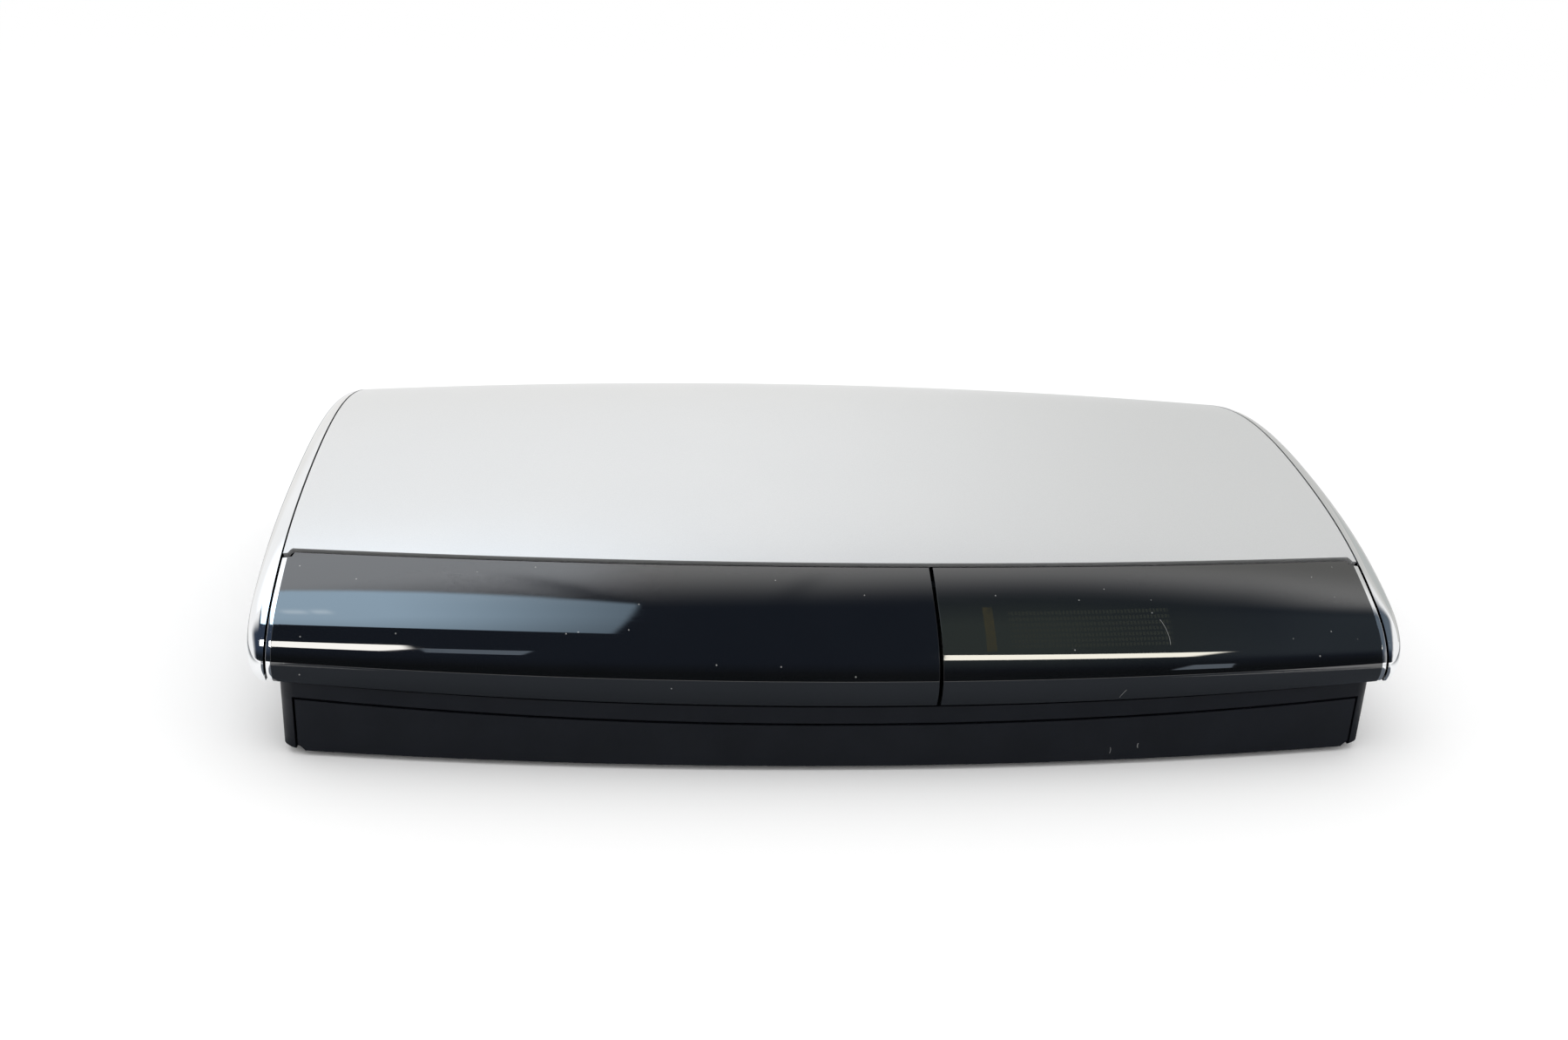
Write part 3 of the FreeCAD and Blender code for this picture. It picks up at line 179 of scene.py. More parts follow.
class Profile:
    """A smooth curve through the middle section's points, with known slopes at both ends."""

    def __init__(self):
        pairs = zip(DEPTH_SHARES, HEIGHT_SHARES)
        self.points = np.array([(FRONT_Y + d * DEPTH, h * HEIGHT) for d, h in pairs])
        self.steps = np.linalg.norm(np.diff(self.points, axis=0), axis=1)
        self.knots = np.concatenate([[0.0], np.cumsum(self.steps)])
        self.slopes = self._slopes()
        self.end = self.knots[-1]
        self.nose = self.knots[-2]

    def _slopes(self):
        """The slope at each point that keeps the curve's bend continuous."""
        count = len(self.points)
        matrix = np.eye(count)
        right = np.zeros((count, 2))
        right[0] = REAR_SLOPE
        right[-1] = LIP_SLOPE
        for i in range(1, count - 1):
            before, after = self.steps[i - 1], self.steps[i]
            matrix[i, i - 1:i + 2] = (after, 2.0 * (before + after), before)
            rise_before = (self.points[i] - self.points[i - 1]) / before
            rise_after = (self.points[i + 1] - self.points[i]) / after
            right[i] = 3.0 * (after * rise_before + before * rise_after)
        return np.linalg.solve(matrix, right)

    def at(self, t):
        """The point (y, z) at length t from the rear edge."""
        i = int(np.clip(np.searchsorted(self.knots, t) - 1, 0, len(self.steps) - 1))
        step = self.steps[i]
        s = (t - self.knots[i]) / step
        start = ((2 * s ** 3 - 3 * s ** 2 + 1) * self.points[i]
                 + (s ** 3 - 2 * s ** 2 + s) * step * self.slopes[i])
        end = ((3 * s ** 2 - 2 * s ** 3) * self.points[i + 1]
               + (s ** 3 - s ** 2) * step * self.slopes[i + 1])
        return start + end


PROFILE = Profile()


def place(x, y, z):
    """A point of the middle section moved to its place on the section at x."""
    share = (x / SKIN_HALF) ** 2
    along = 1.0 - (FRONT_BOW * share + SKIN_INSET) / DEPTH
    upright = 1.0 - (CROWN_DROP * share + SKIN_INSET) / (HEIGHT - WAIST)
    return Vector((x, REAR_Y - REAR_TRIM + (y - REAR_Y) * along, WAIST + (z - WAIST) * upright))


def skin(x, t):
    """The skin's point at x and at length t along the section."""
    return place(x, *PROFILE.at(t))


def skin_normal(x, t):
    """The skin's outward direction there."""
    reach = 0.2
    along = skin(x, min(t + reach, PROFILE.end)) - skin(x, max(t - reach, 0.0))
    across = skin(x + reach, t) - skin(x - reach, t)
    return along.cross(across).normalized()


def cover_edge_y(x, gap):
    """Where the cover's front edge lies at x, with its corner tabs, drawn forward by gap."""
    radius = (SKIN_HALF ** 2 + COVER_BOW ** 2) / (2.0 * COVER_BOW)
    edge = COVER_FRONT_Y + radius - math.sqrt((radius + gap) ** 2 - x ** 2)
    tip = SKIN_HALF - TAB_WIDTH - gap
    root_y = COVER_FRONT_Y + COVER_BOW
    reach = min(max((abs(x) - tip + TAB_SLOPE) / TAB_SLOPE, 0.0), 1.0)
    if reach == 0.0:
        return edge
    return min(edge, root_y - (TAB_OUT + gap) * reach)


def edge_length(x, gap):
    """The length along the section at which the cover's front edge is crossed."""
    target = cover_edge_y(x, gap)
    halvings = 40
    low, high = 0.0, PROFILE.nose
    for _ in range(halvings):
        middle = (low + high) / 2.0
        if skin(x, middle).y > target:
            low = middle
        else:
            high = middle
    return low


# Mesh helpers

def add_mesh(name, points, faces):
    """A smooth mesh object from points in millimetres."""
    mesh = bpy.data.meshes.new(name)
    mesh.from_pydata([tuple(Vector(p) * MM) for p in points], [], faces)
    mesh.validate()
    mesh.shade_smooth()
    piece = bpy.data.objects.new(name, mesh)
    bpy.context.scene.collection.objects.link(piece)
    return piece


def grid_faces(columns, rows):
    """Quads over a grid of points stored column by column."""
    faces = []
    for i in range(columns - 1):
        for j in range(rows - 1):
            a = i * rows + j
            faces.append((a, a + 1, a + rows + 1, a + rows))
    return faces


def ring_faces(start, rings, count, flip=False):
    """Quads between closed rings of points, stored ring by ring from start."""
    faces = []
    for ring in range(rings - 1):
        for k in range(count):
            a = start + ring * count + k
            b = start + ring * count + (k + 1) % count
            quad = (a, b, b + count, a + count)
            faces.append(quad[::-1] if flip else quad)
    return faces


def thicken(piece, wall):
    """Give a sheet its wall on the inner side."""
    solid = piece.modifiers.new("wall", "SOLIDIFY")
    solid.thickness = wall * MM
    solid.offset = -1.0
    solid.use_even_offset = True


def round_edges(piece, width, edge_material=-1, angle=40.0):
    """Round the sharp edges, with a material of their own if one is given."""
    bevel = piece.modifiers.new("edges", "BEVEL")
    bevel.width = width * MM
    bevel.segments = 3
    bevel.limit_method = "ANGLE"
    bevel.angle_limit = math.radians(angle)
    bevel.harden_normals = True
    bevel.material = edge_material


def spread(low, high, count, extra=()):
    """Even places from low to high, with extra ones put in between."""
    digits = 4
    places = set(np.round(np.linspace(low, high, count), digits))
    places.update(round(x, digits) for x in extra if low < x < high)
    return sorted(places)


def corner_places(gap):
    """The places along the width where the cover's corner tabs turn."""
    tip = SKIN_HALF - TAB_WIDTH - gap
    turns = (tip - TAB_SLOPE - TAB_STEP, tip - TAB_SLOPE / 2.0, tip, tip + TAB_STEP)
    return [side * x for side in (LEFT, RIGHT) for x in turns]


# Case shells

def build_cover():
    """The satin cover with its rear lip and its corner tabs."""
    xs = spread(-SKIN_HALF, SKIN_HALF, COVER_COLUMNS, corner_places(0.0))
    lip_z = HEIGHT_SHARES[0] * HEIGHT - COVER_REAR_LIP
    points = []
    for x in xs:
        rear = skin(x, 0.0)
        for i in range(COVER_LIP_ROWS):
            z = lip_z + (rear.z - lip_z) * i / COVER_LIP_ROWS
            points.append(Vector((x, rear.y, z)))
        end = edge_length(x, 0.0)
        points += [skin(x, end * i / (COVER_ROWS - 1)) for i in range(COVER_ROWS)]
    piece = add_mesh("cover_skin", points, grid_faces(len(xs), COVER_ROWS + COVER_LIP_ROWS))
    thicken(piece, COVER_WALL)
    # The rounded edges take the cover's second material, a lighter and less metallic copy of its
    # paint: a painted highlight along them.
    round_edges(piece, COVER_EDGE_ROUND, edge_material=1)
    return piece


def build_posts():
    """The cover's four screw posts, drafted, each with a foot round its screw's hole."""
    points, faces = [], []
    for x, y in POST_PLACES:
        line = [skin(x, t) for t in np.linspace(0.0, PROFILE.nose, POST_SEARCH_STEPS)]
        top = min(p.z for p in line if abs(p.y - y) < POST_SEARCH) - COVER_WALL
        levels = ((POST_FOOT, POST_HOLE), (POST_FOOT, POST_FOOT_RADIUS),
                  (POST_FOOT + POST_COLLAR, POST_COLLAR_RADIUS), (top, POST_RADIUS))
        faces += ring_faces(len(points), len(levels), POST_SIDES)
        for z, radius in levels:
            for k in range(POST_SIDES):
                angle = 2.0 * math.pi * k / POST_SIDES
                points.append((x + radius * math.cos(angle), y + radius * math.sin(angle), z))
    return add_mesh("cover_posts", points, faces)


def front_lengths(x):
    """Even lengths along the section from the cover's seam over the nose to the lip."""
    start = edge_length(x, COVER_SEAM)
    return [start + (PROFILE.end - start) * i / (PANEL_ROWS - 1) for i in range(PANEL_ROWS)]


def build_panel(name, x0, x1):
    """A smoked front panel from the cover's edge over the nose to the lip."""
    xs = spread(x0, x1, PANEL_COLUMNS, corner_places(COVER_SEAM))
    points = [skin(x, t) for x in xs for t in front_lengths(x)]
    piece = add_mesh(name, points, grid_faces(len(xs), PANEL_ROWS))
    thicken(piece, PANEL_WALL)
    round_edges(piece, PANEL_EDGE_ROUND, edge_material=1)
    return piece


def build_strip(name, side):
    """The polished end strip of a panel, a little below the panel's face."""
    reaches = np.linspace(SKIN_HALF - STRIP_WIDTH, SKIN_HALF, len(STRIP_SINKS))
    columns = sorted((side * reach, sink) for reach, sink in zip(reaches, STRIP_SINKS))
    points = []
    for x, sink in columns:
        points += [skin(x, t) - skin_normal(x, t) * sink for t in front_lengths(x)]
    piece = add_mesh(name, points, grid_faces(len(columns), PANEL_ROWS))
    thicken(piece, STRIP_WALL)
    round_edges(piece, STRIP_EDGE_ROUND)
    return piece


def cap_loop(x, drawn):
    """A closed end section at x, drawn in evenly."""
    lip_z = HEIGHT_SHARES[-1] * HEIGHT
    half_tall = (HEIGHT - lip_z) / 2.0
    middle = lip_z + half_tall
    along = 1.0 - drawn / (DEPTH / 2.0)
    upright = 1.0 - drawn / half_tall
    loop = []
    for t in np.linspace(0.0, PROFILE.end, CAP_SKIN_POINTS):
        y, z = PROFILE.at(t)
        moved = place(SKIN_HALF, y * along, middle + (z - middle) * upright)
        loop.append(Vector((x, moved.y, moved.z)))
    first, last = loop[0], loop[-1]
    for share in np.linspace(0.0, 1.0, CAP_FLOOR_POINTS)[1:]:
        loop.append(Vector((x, last.y + (first.y - last.y) * share, last.z)))
    for share in np.linspace(0.0, 1.0, CAP_REAR_POINTS)[1:-1]:
        loop.append(Vector((x, first.y, last.z + (first.z - last.z) * share)))
    return loop


def build_cap(name, side):
    """A rounded chrome end cap, open towards the case."""
    points = []
    for turn in np.radians(np.linspace(0.0, 90.0, CAP_RINGS)):
        x = side * (CAP_START + CAP_BULGE * math.sin(turn))
        points += cap_loop(x, CAP_ROUND * (1.0 - math.cos(turn)))
    count = len(points) // CAP_RINGS
    faces = ring_faces(0, CAP_RINGS, count, flip=side == LEFT)
    outer = tuple(range((CAP_RINGS - 1) * count, CAP_RINGS * count))
    faces.append(outer if side == RIGHT else outer[::-1])
    piece = add_mesh(name, points, faces)
    thicken(piece, CAP_WALL)
    round_edges(piece, CAP_EDGE_ROUND, angle=CAP_EDGE_ANGLE)
    return piece


# Small fittings

def side_block(name, side, reach, depths, heights, rounding):
    """A block with rounded edges on one side of the object, by its reach from the middle."""
    xs = sorted(side * x for x in reach)
    points = [(x, y, z) for x in xs for y in depths for z in heights]
    faces = [(0, 1, 3, 2), (4, 6, 7, 5), (0, 4, 5, 1), (2, 3, 7, 6), (0, 2, 6, 4), (1, 5, 7, 3)]
    piece = add_mesh(name, points, faces)
    round_edges(piece, rounding)
    return piece


def build_flange(name, side):
    """The flange between the rear panel's end and the end cap."""
    reach = (FLANGE_START, CAP_START + CAP_BULGE - CAP_WALL - FLANGE_CAP_GAP)
    depths = (FLANGE_FRONT_Y, FLANGE_REAR_Y)
    return side_block(name, side, reach, depths, FLANGE_HEIGHTS, FLANGE_EDGE_ROUND)


def build_skirt(name, side):
    """The ledge that closes the slot between the base and an end cap."""
    return side_block(name, side, SKIRT_REACH, SKIRT_DEPTHS, SKIRT_HEIGHTS, SKIRT_EDGE_ROUND)


def hexagon_reach(radius, angle):
    """How far a hexagon with this corner radius reaches at an angle."""
    half_side = math.pi / 6.0
    turn = (angle + half_side) % (2.0 * half_side) - half_side
    return radius * math.cos(half_side) / math.cos(turn)


def build_rear_screws():
    """Low domed screws with a hexagon socket on the rear panel."""
    points, faces = [], []
    for middle_x in SCREW_XS:
        start = len(points)
        for radius, out, hexagon in SCREW_RINGS:
            for k in range(SCREW_SIDES):
                angle = 2.0 * math.pi * k / SCREW_SIDES
                reach = hexagon_reach(radius, angle) if hexagon else radius
                points.append((middle_x + reach * math.cos(angle), REAR_FACE_Y + out,
                               SCREW_Z + reach * math.sin(angle)))
        faces += ring_faces(start, len(SCREW_RINGS), SCREW_SIDES, flip=True)
        faces.append(tuple(range(start, start + SCREW_SIDES)))
        faces.append(tuple(reversed(range(len(points) - SCREW_SIDES, len(points)))))
    piece = add_mesh("rear_screw_heads", points, faces)
    piece.data.set_sharp_from_angle(angle=math.radians(SCREW_EDGE_ANGLE))
    return piece


# Materials

# The spans in which most of a noise texture's values lie
NOISE_SPAN = (0.3, 0.7)
TINT_SPAN = (0.25, 0.75)
# The colour mix node's sockets
MIX_FACTOR, MIX_UNDER, MIX_OVER, MIX_RESULT = 0, 6, 7, 2


class Paint:
    """A node material with one principled shader and a few shared texture helpers."""

    def __init__(self, name, colour, roughness, metallic=0.0):
        self.material = bpy.data.materials.new(name)
        self.material.use_nodes = True
        self.nodes = self.material.node_tree.nodes
        self.links = self.material.node_tree.links
        self.shader = self.nodes["Principled BSDF"]
        self.set("Base Color", (*colour, 1.0))
        self.set("Roughness", roughness)
        self.set("Metallic", metallic)
        self.colour = colour
        self.roughness = roughness
        self.coordinates = self.nodes.new("ShaderNodeTexCoord")

    def set(self, socket, value):
        """Set a value that is the same all over the surface."""
        self.shader.inputs[socket].default_value = value

    def noise(self, scale, detail, stretch=(1.0, 1.0, 1.0)):
        """A noise value in object space, stretched along the axes."""
        mapping = self.nodes.new("ShaderNodeMapping")
        mapping.inputs["Scale"].default_value = stretch
        texture = self.nodes.new("ShaderNodeTexNoise")
        texture.inputs["Scale"].default_value = scale
        texture.inputs["Detail"].default_value = detail
        self.links.new(self.coordinates.outputs["Object"], mapping.inputs["Vector"])
        self.links.new(mapping.outputs["Vector"], texture.inputs["Vector"])
        return texture.outputs["Fac"]

    def between(self, value, low, high, span=NOISE_SPAN):
        """The value carried from a span to low..high."""
        node = self.nodes.new("ShaderNodeMapRange")
        node.inputs["From Min"].default_value = span[0]
        node.inputs["From Max"].default_value = span[1]
        node.inputs["To Min"].default_value = low
        node.inputs["To Max"].default_value = high
        self.links.new(value, node.inputs["Value"])
        return node.outputs["Result"]

    def tint(self, value, amount):
        """Lighten and darken the colour by the value."""
        ramp = self.nodes.new("ShaderNodeValToRGB")
        for element, position, sign in zip(ramp.color_ramp.elements, TINT_SPAN, (-1.0, 1.0)):
            element.position = position
            element.color = (*[min(c * (1.0 + sign * amount), 1.0) for c in self.colour], 1.0)
        self.links.new(value, ramp.inputs["Fac"])
        self.links.new(ramp.outputs["Color"], self.shader.inputs["Base Color"])

    def rough(self, value, swing):
        """Let the roughness swing with the value."""
        result = self.between(value, max(self.roughness - swing, 0.0), self.roughness + swing)
        self.links.new(result, self.shader.inputs["Roughness"])

    def work(self, operation, first, second=0.0):
        """The result of a sum, product, comparison or other step on one or two values."""
        node = self.nodes.new("ShaderNodeMath")
        node.operation = operation
        for socket, value in zip(node.inputs, (first, second)):
            if isinstance(value, float):
                socket.default_value = value
            else:
                self.links.new(value, socket)
        return node.outputs["Value"]

    def axes(self):
        """The place in object space along X, Y and Z."""
        node = self.nodes.new("ShaderNodeSeparateXYZ")
        self.links.new(self.coordinates.outputs["Object"], node.inputs["Vector"])
        return node.outputs["X"], node.outputs["Y"], node.outputs["Z"]

    def both(self, first, second):
        """The product of two masks."""
        return self.work("MULTIPLY", first, second)

    def within(self, value, low, high):
        """One where the value lies between two limits in millimetres."""
        return self.both(self.work("GREATER_THAN", value, low * MM),
                         self.work("LESS_THAN", value, high * MM))

    def graded(self, value, low, high, span):
        """The value's way from low to high over a span in millimetres."""
        return self.between(value, low, high, (span[0] * MM, span[1] * MM))

    def specks(self, spacing, size, kept):
        """Sparse specks of dust, of a size in millimetres, with a share of them kept."""
        node = self.nodes.new("ShaderNodeTexVoronoi")
        node.inputs["Scale"].default_value = 1.0 / (spacing * MM)
        self.links.new(self.coordinates.outputs["Object"], node.inputs["Vector"])
        chance = self.nodes.new("ShaderNodeSeparateColor")
        self.links.new(node.outputs["Color"], chance.inputs["Color"])
        near = self.work("LESS_THAN", node.outputs["Distance"], size / spacing)
        return self.both(near, self.work("LESS_THAN", chance.outputs["Red"], kept))

    def hairline(self, x, z, radius, low, high, half_width, to_right):
        """A curved scratch on one side of (x, z), between two heights, in millimetres."""
        along, _, height = self.axes()
        across = self.work("POWER", self.work("SUBTRACT", along, x * MM), 2.0)
        upright = self.work("POWER", self.work("SUBTRACT", height, z * MM), 2.0)
        reach = self.work("POWER", self.work("ADD", across, upright), 0.5)
        off = self.work("ABSOLUTE", self.work("SUBTRACT", reach, radius * MM))
        inside = self.within(height, low, high)
        sided = self.work("GREATER_THAN" if to_right else "LESS_THAN", along, x * MM)
        line = self.work("LESS_THAN", off, half_width * MM)
        return self.both(self.both(line, inside), sided)

    def mark(self, mask, colour):
        """Turn the colour to another one under the mask."""
        node = self.nodes.new("ShaderNodeMix")
        node.data_type = "RGBA"
        base = self.shader.inputs["Base Color"]
        self.links.new(base.links[0].from_socket, node.inputs[MIX_UNDER])
        node.inputs[MIX_OVER].default_value = (*colour, 1.0)
        self.links.new(mask, node.inputs[MIX_FACTOR])
        self.links.new(node.outputs[MIX_RESULT], base)

    def bump(self, value, strength, distance):
        """Raise the surface by the value, over a distance in millimetres."""
        node = self.nodes.new("ShaderNodeBump")
        node.inputs["Strength"].default_value = strength
        node.inputs["Distance"].default_value = distance * MM
        self.links.new(value, node.inputs["Height"])
        self.links.new(node.outputs["Normal"], self.shader.inputs["Normal"])


def grained(name, colour, roughness, grain=2600.0, lift=0.03, level=0.5, chips=()):
    """A moulded or cast surface with a fine grain, slow colour change and any small chips."""
    paint = Paint(name, colour, roughness)
    paint.tint(paint.noise(scale=60.0, detail=6.0), amount=0.12)
    for chip in chips:
        paint.mark(paint.hairline(*chip), colour=(0.20, 0.20, 0.20))
    paint.rough(paint.noise(scale=140.0, detail=5.0), swing=0.06)
    paint.bump(paint.noise(scale=grain, detail=3.0), strength=0.35, distance=lift)
    paint.set("Specular IOR Level", level)
    return paint.material


def brushed(name, colour, roughness, stretch, tint):
    """Metal with fine streaks."""
    paint = Paint(name, colour, roughness, metallic=1.0)
    streaks = paint.noise(scale=900.0, detail=6.0, stretch=stretch)
    paint.tint(streaks, tint)
    paint.rough(streaks, swing=0.05)
    paint.bump(streaks, strength=0.25, distance=0.004)
    return paint.material


def satin(name, colour, roughness, metallic):
    """Fine-grained silver paint with a slow change of gloss and a trace of flake."""
    paint = Paint(name, colour, roughness, metallic)
    paint.tint(paint.noise(scale=3400.0, detail=2.0), amount=0.035)
    paint.rough(paint.noise(scale=26.0, detail=4.0), swing=0.025)
    paint.bump(paint.noise(scale=4200.0, detail=2.0), strength=0.2, distance=0.006)
    return paint.material


def polished(name, colour, roughness):
    """Bright plating with faint swirls."""
    paint = Paint(name, colour, roughness, metallic=1.0)
    paint.tint(paint.noise(scale=35.0, detail=5.0), amount=0.03)
    paint.rough(paint.noise(scale=420.0, detail=8.0), swing=roughness * 0.5)
    return paint.material


def smoked(name, scratches=(), display=False):
    """Dark mirror-like acrylic with hairlines, a few specks of dust and any longer scratches."""
    dust = (0.26, 0.26, 0.25)
    paint = Paint(name, (0.0035, 0.0038, 0.0042), 0.035)
    paint.tint(paint.noise(scale=18.0, detail=3.0), amount=0.25)
    hairlines = paint.noise(scale=700.0, detail=10.0, stretch=(0.05, 1.0, 1.0))
    paint.rough(paint.between(hairlines, 0.35, 0.65, span=(0.45, 0.75)), swing=0.02)
    if display:
        show_display(paint)
    paint.mark(paint.specks(spacing=5.0, size=0.26, kept=0.4), dust)
    for scratch in scratches:
        paint.mark(paint.hairline(*scratch), dust)
    paint.set("IOR", 2.1)
    return paint.material


def show_display(paint):
    """The unlit display's filter, dots and foam edge, faint behind the acrylic."""
    along, _, height = paint.axes()
    glow = paint.both(paint.graded(height, 0.0, 1.0, FILTER_LOW),
                      paint.graded(height, 1.0, 0.0, FILTER_HIGH))
    glow = paint.both(glow, paint.graded(along, 1.0, 0.0, FILTER_END))
    paint.mark(glow, colour=(0.018, 0.021, 0.016))
    dots = paint.both(paint.within(height, *DISPLAY_HEIGHTS), paint.within(along, *DISPLAY_SPAN))
    for axis in (along, height):
        place_in_cell = paint.work("FRACT", paint.work("DIVIDE", axis, DOT_PITCH * MM))
        dots = paint.both(dots, paint.work("LESS_THAN", place_in_cell, DOT_SHARE))
    paint.mark(dots, colour=(0.022, 0.024, 0.017))
    edge = paint.both(paint.within(height, *FOAM_HEIGHTS), paint.within(along, *FOAM_SPAN))
    foam = paint.between(paint.noise(scale=400.0, detail=6.0), 0.4, 1.0)
    paint.mark(paint.both(edge, foam), colour=(0.036, 0.031, 0.013))


def phono_colours(name):
    """Red inserts below, white ones above, and one yellow one for the picture."""
    paint = Paint(name, (0.60, 0.58, 0.54), 0.38)
    paint.tint(paint.noise(scale=120.0, detail=4.0), amount=0.06)
    along, _, height = paint.axes()
    lower = paint.work("LESS_THAN", height, PHONO_ROW_SPLIT * MM)
    last = paint.work("GREATER_THAN", along, PHONO_LAST_X * MM)
    paint.mark(last, colour=(0.62, 0.42, 0.03))
    paint.mark(lower, colour=(0.45, 0.025, 0.02))
    paint.bump(paint.noise(scale=2400.0, detail=3.0), strength=0.3, distance=0.03)
    return paint.material


def board_green(name):
    """A coated circuit board with faint copper runs under the coat."""
    paint = Paint(name, (0.012, 0.075, 0.028), 0.35)
    runs = paint.noise(scale=500.0, detail=1.0, stretch=(0.25, 1.0, 1.0))
    paint.tint(runs, amount=0.45)
    paint.bump(runs, strength=0.3, distance=0.03)
    return paint.material


def coated_glass(name, colour, roughness):
    """A coated dark glass face."""
    paint = Paint(name, colour, roughness)
    paint.tint(paint.noise(scale=90.0, detail=3.0), amount=0.2)
    paint.rough(paint.noise(scale=300.0, detail=4.0), swing=0.02)
    paint.set("Coat Weight", 0.6)
    paint.set("Coat Roughness", 0.03)
    return paint.material


def make_materials():
    """The material of every slot in the record, and of the extra finishes."""
    black = (0.0088, 0.0104, 0.0144)
    across = (0.2, 1.0, 1.0)
    upright = (1.0, 1.0, 0.05)
    even = (1.0, 1.0, 1.0)
    return {
        "silver_cover": satin("satin_cover", (0.75, 0.757, 0.76), 0.36, metallic=0.55),
        # A lighter, less metallic copy of the cover's paint for its rounded edges, a painted
        # highlight that makes them show bright.
        "cover_edge_highlight": satin("cover_edge_highlight", (0.92, 0.92, 0.92), 0.3, metallic=0.25),
        "chrome_trim": polished("chrome_trim", (0.86, 0.87, 0.88), 0.05),
        "smoked_panel": smoked("smoked_panel"),
        "smoked_window": smoked("smoked_window", WINDOW_SCRATCHES, display=True),
        "panel_edge": grained("panel_edge", (0.012, 0.013, 0.015), 0.16, level=0.8),
        "black_plastic": grained("black_plastic", black, 0.5, level=0.22),
        "worn_plastic": grained("worn_plastic", black, 0.5, level=0.22, chips=BASE_CHIPS),
        "key_plastic": grained("key_plastic", (0.055, 0.056, 0.06), 0.34),
        "rubber": grained("rubber", (0.012, 0.012, 0.012), 0.8, grain=1800.0, level=0.2),
        "white_plastic": grained("white_plastic", (0.62, 0.61, 0.56), 0.42),
        "board": board_green("board"),
        "plated_steel": brushed("plated_steel", (0.56, 0.56, 0.54), 0.34, across, tint=0.08),
        "rear_steel": grained("rear_steel", (0.012, 0.012, 0.013), 0.45, grain=1500.0, lift=0.05,
                              level=0.35),
        "screw_black": brushed("screw_black", (0.16, 0.16, 0.17), 0.3, even, tint=0.1),
        "gold_plate": polished("gold_plate", (0.80, 0.60, 0.28), 0.18),
        "insert_plastic": phono_colours("phono_colours"),
        "component": grained("component", (0.018, 0.018, 0.02), 0.4),
        "core_steel": grained("core_steel", (0.12, 0.11, 0.10), 0.5, grain=900.0, lift=0.06),
        "sink_aluminium": brushed("sink_aluminium", (0.52, 0.53, 0.54), 0.42, upright, tint=0.06),
        "tube_glass": coated_glass("tube_glass", (0.012, 0.016, 0.015), 0.08),
        "lens_glass": coated_glass("lens_glass", (0.12, 0.14, 0.30), 0.05),
        "cable": grained("cable", (0.55, 0.55, 0.52), 0.45),
    }


def paint_frame(materials):
    """Every solid that stays in view gets the material of its slot."""
    slots = {entry["node"]: entry["material_slot"] for entry in frame["record"]["subparts"]}
    slots["base_front_cover"] = "worn_plastic"
    for node, obj in frame["nodes"].items():
        obj.data.materials.clear()
        obj.data.materials.append(materials[slots[node]])


# Stage

def add_lamp():
    """One soft rectangular lamp overhead, of a known brightness, that no gloss mirrors."""
    width, height = (size * MM for size in LAMP_SIZE)
    lamp = bpy.data.lights.new("overhead", "AREA")
    lamp.shape = "RECTANGLE"
    lamp.size = width
    lamp.size_y = height
    lamp.energy = LAMP_RADIANCE * math.pi * width * height
    holder = bpy.data.objects.new("overhead", lamp)
    holder.location = Vector(LAMP_PLACE) * MM
    direction = Vector(LAMP_TARGET) - Vector(LAMP_PLACE)
    holder.rotation_euler = direction.to_track_quat("-Z", "Y").to_euler()
    holder.visible_glossy = False
    bpy.context.scene.collection.objects.link(holder)


def matt_paint(name, colour, roughness):
    """A plain stage material without gloss."""
    paint = Paint(name, colour, roughness)
    paint.set("Specular IOR Level", 0.0)
    return paint.material


def add_floor():
    """A wide pale floor that takes the object's shadow."""
    size = FLOOR_HALF
    points = [(-size, -size, 0.0), (size, -size, 0.0), (size, size, 0.0), (-size, size, 0.0)]
    floor = add_mesh("floor", points, [(0, 1, 2, 3)])
    floor.data.materials.append(matt_paint("pale_floor", FLOOR_COLOUR, 0.9))


def studio_point(tilt, side, distance):
    """A point round the object: tilt runs from overhead to the front, side to the right."""
    a, b = math.radians(tilt), math.radians(side)
    direction = Vector((math.sin(b), -math.cos(b) * math.sin(a), math.cos(b) * math.cos(a)))
    return STUDIO_CENTRE + direction * distance


def fade(value, start, end):
    """A smooth step from 0 at start to 1 at end."""
    share = min(max((value - start) / (end - start), 0.0), 1.0)
    return share * share * (3.0 - 2.0 * share)


def glow_material(name, radiance):
    """A plain glow, let through where the mesh's cover value is low."""
    material = bpy.data.materials.new(name)
    material.use_nodes = True
    nodes, links = material.node_tree.nodes, material.node_tree.links
    nodes.clear()
    amount = nodes.new("ShaderNodeAttribute")
    amount.attribute_name = "cover"
    glow = nodes.new("ShaderNodeEmission")
    glow.inputs["Color"].default_value = (*radiance, 1.0)
    mix = nodes.new("ShaderNodeMixShader")
    clear = nodes.new("ShaderNodeBsdfTransparent")
    output = nodes.new("ShaderNodeOutputMaterial")
    links.new(amount.outputs["Fac"], mix.inputs["Fac"])
    links.new(clear.outputs["BSDF"], mix.inputs[1])
    links.new(glow.outputs["Emission"], mix.inputs[2])
    links.new(mix.outputs["Shader"], output.inputs["Surface"])
    material.cycles.emission_sampling = "NONE"
    return material


def only_mirrored(card):
    """Let a stage card be seen only where the object mirrors it."""
    for ray in ("camera", "diffuse", "shadow", "transmission", "volume_scatter"):
        setattr(card, "visible_" + ray, False)


def add_sheet(name, place_at, columns, rows, radiance, cover):
    """A glowing sheet over two ranges: place_at gives its points, cover how much is seen."""
    points = [place_at(u, v) for u in columns for v in rows]
    card = add_mesh(name, points, grid_faces(len(columns), len(rows)))
    shares = card.data.attributes.new("cover", "FLOAT", "POINT")
    shares.data.foreach_set("value", [cover(u, v) for u in columns for v in rows])
    card.data.materials.append(glow_material(name, radiance))
    only_mirrored(card)


